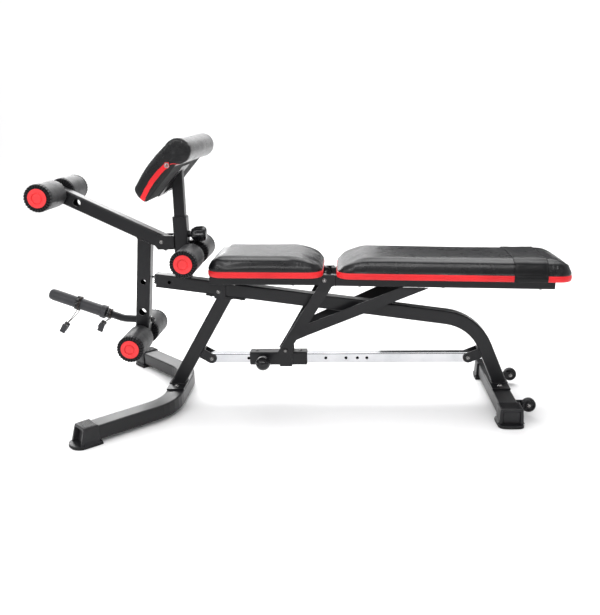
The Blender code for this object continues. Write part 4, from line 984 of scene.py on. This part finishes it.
def make_pull_knob():
    """Ball knob with a moulding line on the spring pin, and the nut that holds the pin's housing."""
    low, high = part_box("pull_knob")
    centre = Vector(((low.x + high.x) / 2 - 0.0015, low.y + 0.0225, (low.z + high.z) / 2 - 0.001))
    size, back = 0.0240, abs(high.y) - abs(centre.y)
    arc = [(size * math.cos(a), size * math.sin(a)) for a in (math.radians(90 - i * 6.1) for i in range(3,
        25))]
    ball = [(0.0, size - 0.0002), (0.0045, size - 0.0004), (0.0068, size - 0.0012)]
    ball += [(r, h) for r, h in arc if h > -0.0205] + [(0.0104, -0.0212), (0.0096, -0.0224), (0.0, -0.0224)]
    pin = [(0.0, -0.018), (0.0047, -0.018), (0.0047, back + 0.002), (0.0036, back + 0.0002),
        (0.0, back + 0.0002)]
    seam = [(size - 0.0004, 0.0), (size + 0.0003, 0.0003), (size + 0.0003, -0.0003), (size - 0.0004, -0.0006)]
    pairs = (lathe(ball, 64), GLOSS), (lathe(pin, 28), ZINC), (lathe(seam, 64, ring=True), GLOSS)
    parts = placed(towards(centre, (0, -1, 0)), *pairs)
    piece("pull_knob_detail", parts, "pull_knob", ("pull_knob",), angle=40)
    collar = lathe([(0.0100, 0.0), (0.0124, 0.0), (0.0124, -0.0065), (0.0100, -0.0065)], 6, ring=True)
    nut = placed(towards((centre.x, -0.0300, centre.z), (0, -1, 0)), (collar, DARK_ZINC))
    piece("pin_housing_nut", nut, "slider", bevel=0.0006, angle=30)


THREAD = 0.00125  # pitch of the knob's shank
PLATE_BEND = Vector((-0.592, 0, 0.2885))
SLEEVE_RADIUS = 0.0195
PLATE_RISE = math.radians(20.0)
PLATE_ALONG = Vector((-math.cos(PLATE_RISE), 0, math.sin(PLATE_RISE)))


def make_clip(node, distance, core, middle, spread):
    """Wire collar: a band and coils round the core, two legs, and their flat plastic grips."""
    centre, middle, side = PLATE_BEND + PLATE_ALONG * distance, Vector(middle), Vector((0, 1, 0))
    down = (middle - centre).normalized()
    across = side.cross(down)
    radial = (down - PLATE_ALONG * PLATE_ALONG.dot(down)).normalized()
    wire, coil = 0.0015, []
    for t in (i / 120 for i in range(121)):
        a = -0.30 + t * (2 * TAU + 0.60)
        ring = radial * math.cos(a) + side * math.sin(a)
        coil.append(centre + ring * (core + 0.0042) - PLATE_ALONG * (0.0040 + 0.0062 * t))

    def notched(r, h, a):
        tooth = int(a / TAU * 64) % 4 < 2
        return r + (0.0 if tooth or r < core + 0.003 else -0.0016), h

    band = [(0.0003, 0.0066), (0.0034, 0.0066), (0.0042, 0.0050), (0.0042, -0.0030), (0.0034, -0.0042),
        (0.0003, -0.0042)]
    band = lathe([(core + r, h) for r, h in band], 64, notched, ring=True)
    parts, grips = placed(towards(centre, PLATE_ALONG), (band, GLOSS)), []
    outline = [(-0.0092, -0.0034), (0.0092, -0.0034), (0.0092, 0.0034), (-0.0092, 0.0034)]
    rib = [(x * 0.90, y * 1.10) for x, y in outline]
    shapes = [slab(outline, -0.0005, 0.0300)]
    shapes += [slab(rib, 0.0040 + k * 0.0050, 0.0062 + k * 0.0050) for k in range(5)]
    for sign, tip in ((-1, coil[0]), (1, coil[-1])):
        knee = middle - down * 0.0150 + side * (sign * 0.0120)
        elbow = tip.lerp(knee, 0.36) + across * math.copysign(0.0045, across.x)
        leg = [tip.lerp(elbow, t / 5).lerp(elbow.lerp(knee, t / 5),
            t / 5) for t in range(6)] + [knee + down * 0.004]
        parts.append((pipe(leg, wire, 8), SPRING))
        place = Matrix((across, side, down)).transposed().to_4x4()
        place.translation = knee
        place = place @ Matrix.Rotation(sign * spread, 4, "Y")
        grips += placed(place, *((shape, SLEEVE_PLASTIC) for shape in shapes))
    parts.append((pipe(coil, wire, 8), SPRING))
    piece(f"{node}_wire", parts, "lever", (node,), angle=38)
    piece(f"{node}_grips", grips, "lever", bevel=0.0006)


def make_plate_sleeve():
    """Stepped flange and domed end on the weight sleeve."""
    start, end = 0.061, 0.2615
    dome = [(0.0, 0.0002), (0.0075, 0.0006), (0.0130, 0.0026), (0.0166, 0.0060), (0.0184, 0.0105),
        (0.0188, 0.0150)]
    dome += [(0.0186, 0.0160), (0.0193, 0.0166), (SLEEVE_RADIUS, 0.0180)]
    flange = [(SLEEVE_RADIUS, 0.0190), (0.0212, 0.0180), (0.0222, 0.0165), (0.0226, 0.0150), (0.0226, 0.0012)]
    flange += [(0.0216, 0.0), (0.0130, 0.0), (0.0130, 0.02), (0.0, 0.02)]
    profile = [(r, end - h) for r, h in dome] + [(r, start + h) for r, h in flange]

    def wave(r, h, a):
        return (r + 0.00008 * noise.noise(Vector((h * 90, math.cos(a) * 2, math.sin(a) * 2))) if r else r), h

    parts = placed(towards(PLATE_BEND, PLATE_ALONG), (lathe(profile, 72, wave), SLEEVE_PLASTIC))
    piece("plate_sleeve_detail", parts, "lever", ("plate_sleeve",), angle=30)


def make_wheels():
    """Wheel with a hub, spokes with recesses between them, and a rounded tread."""

    def wave(r, h, a):
        if 0.0105 < r < 0.0165 and abs(h) > 0.004:
            spoke = soft_step(abs(math.cos(2.5 * a)) * 4 - 2.6)
            return r, h * (0.45 + 0.50 * spoke)
        return r, h

    half = [(0.0043, 0.0089), (0.0085, 0.0089), (0.0095, 0.0080), (0.0108, 0.0072), (0.0135, 0.0070),
        (0.0160, 0.0072)]
    half += [(0.0172, 0.0084), (0.0195, 0.0089), (0.0216, 0.0078), (0.0224, 0.0055)]
    wheel = lathe(half + [(0.0225, 0.0)] + [(r, -h) for r, h in reversed(half)], 80, wave, ring=True)
    for side, word in SIDES:
        node = f"wheel_{word}"
        place = towards(centre_of(node), (0, side, 0))
        piece(f"{node}_tread", placed(place, (wheel, PLASTIC)), node, (node,), angle=34)


# ---------------------------------------------------------------- fasteners
def button_head():
    """Domed head with a hexagon socket, standing on z = 0."""
    radius, height, socket = 0.0068, 0.0042, 0.0068 * 0.42

    def wave(r, h, a):
        if abs(r - socket) < 1e-6:
            return r / max(math.cos((a % (TAU / 6)) - TAU / 12), 0.8), h
        return r, h

    profile = [(0.0, height * 0.35), (socket, height * 0.35), (socket, height * 0.97),
        (radius * 0.62, height * 0.93)]
    profile += [(radius * 0.86, height * 0.66), (radius, height * 0.22), (radius, 0.0), (0.0, 0.0)]
    return lathe(profile, 36, wave)


def hex_nut():
    """Chamfered six-sided nut and the bolt's end, standing on z = 0."""
    radius, height, stud = 0.0068, 0.0052, 0.004
    body = lathe([(0.0, height), (radius * 0.86, height), (radius, height * 0.84), (radius, 0.0), (0.0, 0.0)],
        6)
    end = [(0.0, 0.0022), (stud * 0.8, 0.0022), (stud, 0.0014), (stud, -0.001), (0.0, -0.001)]
    return body, lathe([(r, height + h) for r, h in end], 20)


def washer():
    radius, high = 0.0082, 0.0012
    profile = [(0.0030, high), (radius - 0.0005, high), (radius, high * 0.5), (radius, 0.0), (0.0030, 0.0)]
    return lathe(profile, 32, ring=True)


def bolt_end(origin, axis, scale=1.0, nut=False):
    """Parts for one end of a bolt: washer, then head or nut."""
    where = towards(origin, axis) @ Matrix.Scale(scale, 4)
    lifted = where @ Matrix.Translation((0, 0, 0.0012))
    shapes = hex_nut() if nut else (button_head(),)
    return placed(where, (washer(), DARK_ZINC)) + placed(lifted, *((shape, DARK_ZINC) for shape in shapes))


def through_bolt(node, body, inset, head, nut, shank=(0.0, 0.0), radius=0.00395, turned=False):
    """Bolt along Y in place of its CAD solid. inset is how far the seats of head and nut lie inside its box;
    head and nut are scales; shank is how far its ends reach past those seats; turned puts the head at +Y."""
    low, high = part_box(node)
    x, z = (low.x + high.x) / 2, (low.z + high.z) / 2
    side = 1 if turned else -1
    head_y, nut_y = (high.y - inset[0], low.y + inset[1]) if turned else (low.y + inset[0], high.y - inset[1])
    start, end = nut_y - side * shank[1], head_y + side * shank[0]
    length = abs(end - start)
    rod = lathe([(0.0, 0.0), (radius, 0.0), (radius, length), (0.0, length)], 24)
    parts = bolt_end((x, head_y, z), (0, side, 0), head) + bolt_end((x, nut_y, z), (0, -side, 0), nut, True)
    parts += placed(towards((x, start, z), (0, side, 0)), (rod, DARK_ZINC))
    piece(f"{node}_detail", parts, body, (node,), angle=30)


def make_cross_bolts():
    """The pivot bolts and the seat hinge's bolts."""
    bodies = {n: b for b, names in frame["record"]["behaviour"]["bodies"].items() for n in names}
    for node in ("bar_bolt_front", "bar_bolt_rear", "lever_pivot_bolt", "seat_pivot_bolt"):
        through_bolt(node, bodies[node], (0.0052, 0.0052), 0.8, 0.62)
    for side, word in SIDES:
        through_bolt(f"seat_hinge_bolt_{word}", "seat", (0.0050, 0.0050), 0.78, 0.60, turned=side > 0)


def make_axles():
    for side, word in SIDES:
        ends = (0.0009, 0.0010)
        through_bolt(f"wheel_axle_{word}", "base", (0.0044, 0.0055), 0.78, 0.8, ends, 0.0039, turned=side > 0)


def make_loose_fasteners():
    """Base plates' bolts, nuts under the beam's flange, and screws of the rails, slider and struts."""
    up, down = (0, 0, 1), (0, 0, -1)

    def group(name, body, ends):
        piece(name, sum(ends, []), body, angle=30)

    bolts = [bolt_end((x, y, 0.0630), up) for x in (-0.417, 0.654) for y in (-0.046, 0.046)]
    square = (-math.sin(BEAM_DROP), 0, -math.cos(BEAM_DROP))
    under = ((x, 0, beam_height(x) - BEAM_HALF - 0.0056) for x in (-0.2915, -0.1905))
    group("base_bolts", "base", bolts + [bolt_end(place, square, 0.9, True) for place in under])
    for body, rail, drop, places in (
        ("seat", seat_rail, 0.0354, (-0.204, -0.014)), ("back", back_rail, 0.0356, (0.1975, 0.46, 0.762)),
    ):
        screws = [bolt_end((x, side * RAIL_Y, rail(x) - drop), down, 0.72) for x in places for side in (-1,
            1)]
        group(f"{body}_screws", body, screws)
    group("slider_screws", "slider", [bolt_end((x, 0, 0.1731), up, 0.62) for x in (-0.146, 0.000)])
    for side, word in SIDES:
        group(f"strut_bolt_{word}", "back", [bolt_end((-0.048, side * 0.0366, 0.182), (0, side, 0), 0.62)])


# ---------------------------------------------------------------- welds
def bead(points, radius, closed, seed):
    """Weld bead along a line: overlapping ripples about 2 mm apart."""
    step, ripple_length = 0.0007, 0.0022
    path = [Vector(p) for p in points]
    if closed:
        path.append(path[0])
    fine = []
    for a, b in zip(path, path[1:]):
        steps = max(2, round((b - a).length / step))
        fine += [a.lerp(b, i / steps) for i in range(steps)]
    fine.append(path[-1])
    count = len(fine)

    def size(t):
        ripple = abs(math.sin(t * count * step / ripple_length * math.pi))
        swell = 0.18 * noise.noise(Vector((t * count * 0.03 + seed, seed, 0)))
        return radius * (0.78 + 0.22 * ripple + swell)

    return pipe(fine, size, 8)


def square_ring(place, half_x, half_y, radius=0.004):
    """Line round a square tube's foot, in the plane of place."""
    out = []
    for cx, cy, start in ((1, 1, 0), (-1, 1, 90), (-1, -1, 180), (1, -1, 270)):
        for a in (math.radians(start + i * 30) for i in range(4)):
            x = cx * (half_x - radius) + radius * math.cos(a)
            y = cy * (half_y - radius) + radius * math.sin(a)
            out.append(place @ Vector((x, y, 0)))
    return out


def weld(name, body, lines):
    """One object for a body's beads. Each line is (points, radius, closed, seed)."""
    piece(name, [(bead(*line), WELD) for line in lines], body, angle=60)


def make_frame_welds():
    """Legs on their base plates, front leg and post sleeve on the beam, and the thigh roller's tube."""
    half, plate, lines = TUBE / 2, 0.0631, []
    lean_front, lean_rear = math.radians(30.4), math.radians(22.6)
    front_x = -0.240 - math.tan(lean_front) * (0.3689 - plate)
    rear_x = 0.5699 + math.tan(lean_rear) * (0.2751 - plate)
    for x, lean in ((front_x, lean_front), (rear_x, lean_rear)):
        ring = square_ring(Matrix.Translation((x, 0, plate)), half / math.cos(lean) + 0.0006, half + 0.0006)
        lines.append((ring, 0.0026, True, x))
    meet = tilted((-0.2429, 0, beam_height(-0.24) - BEAM_HALF - 0.0058), -BEAM_DROP)
    ring = square_ring(meet, half / math.cos(lean_front - BEAM_DROP) + 0.0008, half - 0.0004)
    lines.append((ring, 0.0022, True, 2.0))
    left, right = POST_X - half, POST_X + half
    top = {x: beam_height(x) + BEAM_HALF + 0.0010 for x in (left, right, left - 0.0004, right + 0.0004)}
    for side in (-1, 1):
        y = side * (half - 0.001)
        lines.append(([(x, y, top[x]) for x in (left, right)], 0.0022, False, 3.0 + side))
    for x in (left - 0.0004, right + 0.0004):
        lines.append(([(x, y, top[x]) for y in (0.003 - half, half - 0.003)], 0.0022, False, 5.0 + x))
    for side in (-1, 1):
        line = [(left + 0.0005, side * (half + 0.0030), z) for z in (0.530, 0.5685)]
        lines.append((line, 0.0018, False, 6.0 + side))
    for side in (-1, 1):
        line = [(right + 0.0006, y, THIGH.z + side * 0.0095) for y in (-0.0215, 0.0215)]
        lines.append((line, 0.0020, False, 7.5 + side))
    weld("frame_welds", "base", lines)


def make_lever_welds():
    """Leg under arm, roller tubes through their arms, and the plate bar on the leg."""
    half = TUBE / 2
    arm, leg = ARM_DIRECTION, LEG_DIRECTION
    corners = []
    for sign in (-1, 1):
        edge = LOW + Vector((leg.z, 0, -leg.x)) * (sign * half)
        offset = LEVER_PIVOT + Vector((-arm.z, 0, arm.x)) * half - edge
        t = (offset.x * arm.z - offset.z * arm.x) / (leg.x * arm.z - leg.z * arm.x)
        corners.append(edge + leg * t)
    (a, b), y = corners, half - 0.0008
    lines = [([(a.x, -y, a.z), (b.x, -y, b.z), (b.x, y, b.z), (a.x, y, a.z)], 0.0022, True, 11.0)]
    circle = [(math.cos(TAU * i / 24), math.sin(TAU * i / 24)) for i in range(24)]
    for place in (TOP, LOW):
        for side in (-1, 1):
            ring = [place + Vector((0.0136 * c, side * (half + 0.0002), 0.0136 * s)) for c, s in circle]
            lines.append((ring, 0.0016, True, place.x + side))
    foot = towards((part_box("plate_bar")[1].x - 0.0006, 0, 0.2856), (-1, 0, 0))
    lines.append(([foot @ Vector((0.0133 * c, 0.0133 * s, 0.0004)) for c, s in circle], 0.0018, True, 13.0))
    weld("lever_welds", "lever", lines)


def make_strut_welds():
    """Struts on the back rails, and the short gusset."""
    lines = []
    for side in (-1, 1):
        y = side * 0.0709
        lines.append(([(0.121, y, 0.4076), (0.121, y, 0.4427)], 0.0015, False, 15.0 + side))
        lines.append(([(0.335, y, 0.4022), (0.402, y, 0.4006)], 0.0015, False, 17.0 + side))
    weld("back_welds", "back", lines)


def make_rail_ends():
    """Plastic plugs in the open ends of the rails, each with a lip: the spans are along the rail."""
    for body, x, shift, rail, tilt, plug, lip, bevel in (
        ("back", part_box("back_frame")[1].x, -0.0004, back_rail, BACK_TILT, (-0.010, 0.0016), (0.0002, 0.0020),
            0.0008),
        ("seat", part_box("seat_frame")[0].x, 0.0002, seat_rail, SEAT_TILT, (-0.0005, 0.010),
            (-0.0016, -0.0001), 0.0006),
    ):
        parts = []
        for side in (-1, 1):
            place = tilted((x + shift, side * RAIL_Y, rail(x) - 0.0175), -tilt)
            for (near, far), y, z in ((plug, 0.0098, 0.0148), (lip, 0.0122, 0.0172)):
                parts += placed(place, (brick((near, -y, -z), (far, y, z)), PLASTIC))
        piece(f"{body}_rail_plugs", parts, body, bevel=bevel)


def make_beam_cap():
    """Ribbed plug that stands a little out of the beam's front end."""
    bricks = [
        brick((-0.0016, -0.0225, -0.0225), (-0.0002, 0.0225, 0.0225)),
        brick((-0.0010, -0.0188, -0.0188), (0.0180, 0.0188, 0.0188)),
        brick((-0.0070, -0.0205, -0.0110), (-0.0005, 0.0205, 0.0222)),
    ]
    for low in (-0.0100 + k * 0.0066 for k in range(5)):
        bricks.append(brick((-0.0098, -0.0198, low), (-0.0060, 0.0198, low + 0.0036)))
    parts = placed(tilted((BEAM_START, 0, BEAM_START_Z), -BEAM_DROP), *((shape, PLASTIC) for shape in bricks))
    piece("beam_front_plug", parts, "base", ("beam_front_cap",), bevel=0.0007)


def make_bar_nut():
    """Nut and spring washer where the weight bar's stud comes out behind the lever's leg."""
    right = Vector((LEG_DIRECTION.z, 0, -LEG_DIRECTION.x))
    level = LOW + LEG_DIRECTION * ((0.2855 - LOW.z) / LEG_DIRECTION.z) + right * (TUBE / 2 + 0.0001)
    cap = lathe([(0.0, 0.0150), (0.0050, 0.0144), (0.0074, 0.0118), (0.0082, 0.0080), (0.0086, 0.0020),
        (0.0, 0.0020)], 6)
    ring = lathe([(0.0040, 0.0), (0.0120, 0.0), (0.0124, 0.0010), (0.0118, 0.0020), (0.0040, 0.0020)], 40,
        ring=True)
    parts = placed(towards(level, right), (cap, GLOSS), (ring, ZINC))
    piece("weight_bar_nut", parts, "lever", angle=30)


# ---------------------------------------------------------------- stage, light and camera
def make_stage():
    """Pale floor that curves up into a backdrop."""
    profile = [(-6.0, 0.0), (2.6, 0.0)]
    for a in (math.pi / 2 * i / 12 for i in range(1, 13)):
        profile.append((2.6 + 1.4 * math.sin(a), 1.4 * (1 - math.cos(a))))
    profile.append((4.0, 6.0))
    points = [(x, y, z) for y, z in profile for x in (-9.0, 9.0)]
    faces = [(2 * i, 2 * i + 1, 2 * i + 3, 2 * i + 2) for i in range(len(profile) - 1)]
    n = Nodes("studio_floor_paint")
    tone = n.blend(n.ramp(n.noise(1.2, 2.0), 0.3, 0.7), (0.86, 0.86, 0.86), (0.90, 0.90, 0.90))
    mesh = new_mesh("studio_floor", points, faces, n.finish(tone, 0.85))
    mesh.shade_smooth()
    new_object("studio_floor", mesh)


def area_light(name, location, target, size, power):
    light = bpy.data.lights.new(name, "AREA")
    light.shape, light.size, light.size_y = "RECTANGLE", *size
    light.energy = power
    obj = new_object(name, light)
    obj.location = location
    obj.visible_camera = False
    obj.rotation_euler = (Vector(target) - Vector(location)).to_track_quat("-Z", "Y").to_euler()


def make_flag():
    """Dark card out of view, which keeps the bright backdrop out of the long cushion's reflections."""
    n = Nodes("studio_flag_cloth")
    tone = n.blend(n.ramp(n.noise(3.0, 2.0), 0.3, 0.7), (0.035, 0.035, 0.036), (0.050, 0.050, 0.052))
    points = [(0.36, 2.2, 0.45), (2.6, 2.2, 0.45), (2.6, 2.2, 1.9), (0.36, 2.2, 1.9)]
    obj = new_object("studio_flag", new_mesh("studio_flag", points, [(0, 1, 2, 3)], n.finish(tone, 0.9)))
    obj.visible_camera = obj.visible_shadow = obj.visible_diffuse = False


def make_light():
    world = bpy.data.worlds.new("studio_air")
    bpy.context.scene.world = world
    world.use_nodes = True
    tree = world.node_tree
    background = tree.nodes["Background"]
    background.inputs[0].default_value = (0.98, 0.985, 1.0, 1.0)
    direction = tree.nodes.new("ShaderNodeTexCoord").outputs["Generated"]
    parts = tree.nodes.new("ShaderNodeSeparateXYZ")
    tree.links.new(direction, parts.inputs[0])
    fade = tree.nodes.new("ShaderNodeMapRange")
    for key, number in (("From Min", -0.9), ("From Max", 0.6), ("To Min", 0.30), ("To Max", 1.05)):
        fade.inputs[key].default_value = number
    tree.links.new(parts.outputs["Y"], fade.inputs["Value"])
    tree.links.new(fade.outputs["Result"], background.inputs[1])
    area_light("overhead", (0.0, 0.7, 3.0), (0.0, 0.0, 0.4), (3.6, 2.2), 88)
    area_light("back_top", (0.2, 2.3, 2.2), (0.0, 0.0, 0.5), (3.4, 1.2), 36)
    area_light("back_left", (-1.55, 2.3, 1.25), (-0.5, 0.0, 0.4), (1.5, 0.7), 20)
    area_light("backdrop_wash", (0.0, 1.7, 2.9), (0.0, 4.4, 1.7), (6.0, 0.8), 75)
    area_light("front_strip", (-0.3, -2.6, 1.90), (0.0, 0.0, 0.45), (3.6, 0.20), 44)
    area_light("front_left", (-2.5, -2.2, 1.5), (0.0, 0.0, 0.4), (0.5, 1.6), 12)
    scene = bpy.context.scene
    scene.view_settings.view_transform = "Standard"
    scene.view_settings.look = "None"


def make_camera():
    pitch, yaw, roll = 0.264306, 0.067417, -0.025329
    forward = Vector((-math.sin(yaw) * math.cos(pitch), math.cos(yaw) * math.cos(pitch), -math.sin(pitch)))
    level = Vector((math.cos(yaw), math.sin(yaw), 0))
    up = level.cross(forward)
    right = level * math.cos(roll) + up * math.sin(roll)
    top = up * math.cos(roll) - level * math.sin(roll)
    camera = bpy.data.cameras.new("view")
    camera.sensor_width, camera.lens = 36.0, 43.135
    obj = new_object("view", camera)
    matrix = Matrix((right, top, -forward)).transposed().to_4x4()
    matrix.translation = Vector((0.160, -2.3414, 0.9560))
    obj.matrix_world = matrix
    bpy.context.scene.camera = obj


# ---------------------------------------------------------------- assembly
make_camera()
make_stage()
make_flag()
make_light()
finish_frame_nodes()
seat, _ = make_cushion("seat_cushion", "seat_pad", "seat", SEAT_TILT, SEAT_ENDS, 1.7, 0.005)
back, back_place = make_cushion("back_cushion", "back_pad", "back", BACK_TILT, BACK_ENDS, 4.3)
sleeve = make_wrap_band(back, back_place)
for cushion in (seat, back):
    add_subdivision(cushion)
make_curl_details(*make_curl_pad())
make_rollers()
for end in ("front", "rear"):
    for _, word in SIDES:
        make_foot_cap(f"{end}_foot_cap_{word}")
make_post_knob()
make_pull_knob()
make_plate_sleeve()
make_clip("spring_clip_inner", 0.0530, 0.0125, (-0.6711, 0, 0.2620), 0.16)
make_clip("spring_clip_outer", 0.161, SLEEVE_RADIUS, (-0.7989, 0, 0.2577), 0.05)
make_wheels()
make_cross_bolts()
make_loose_fasteners()
make_axles()
make_frame_welds()
make_lever_welds()
make_strut_welds()
make_rail_ends()
make_beam_cap()
make_bar_nut()
for soft in (back, sleeve):
    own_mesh(soft)
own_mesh(seat)
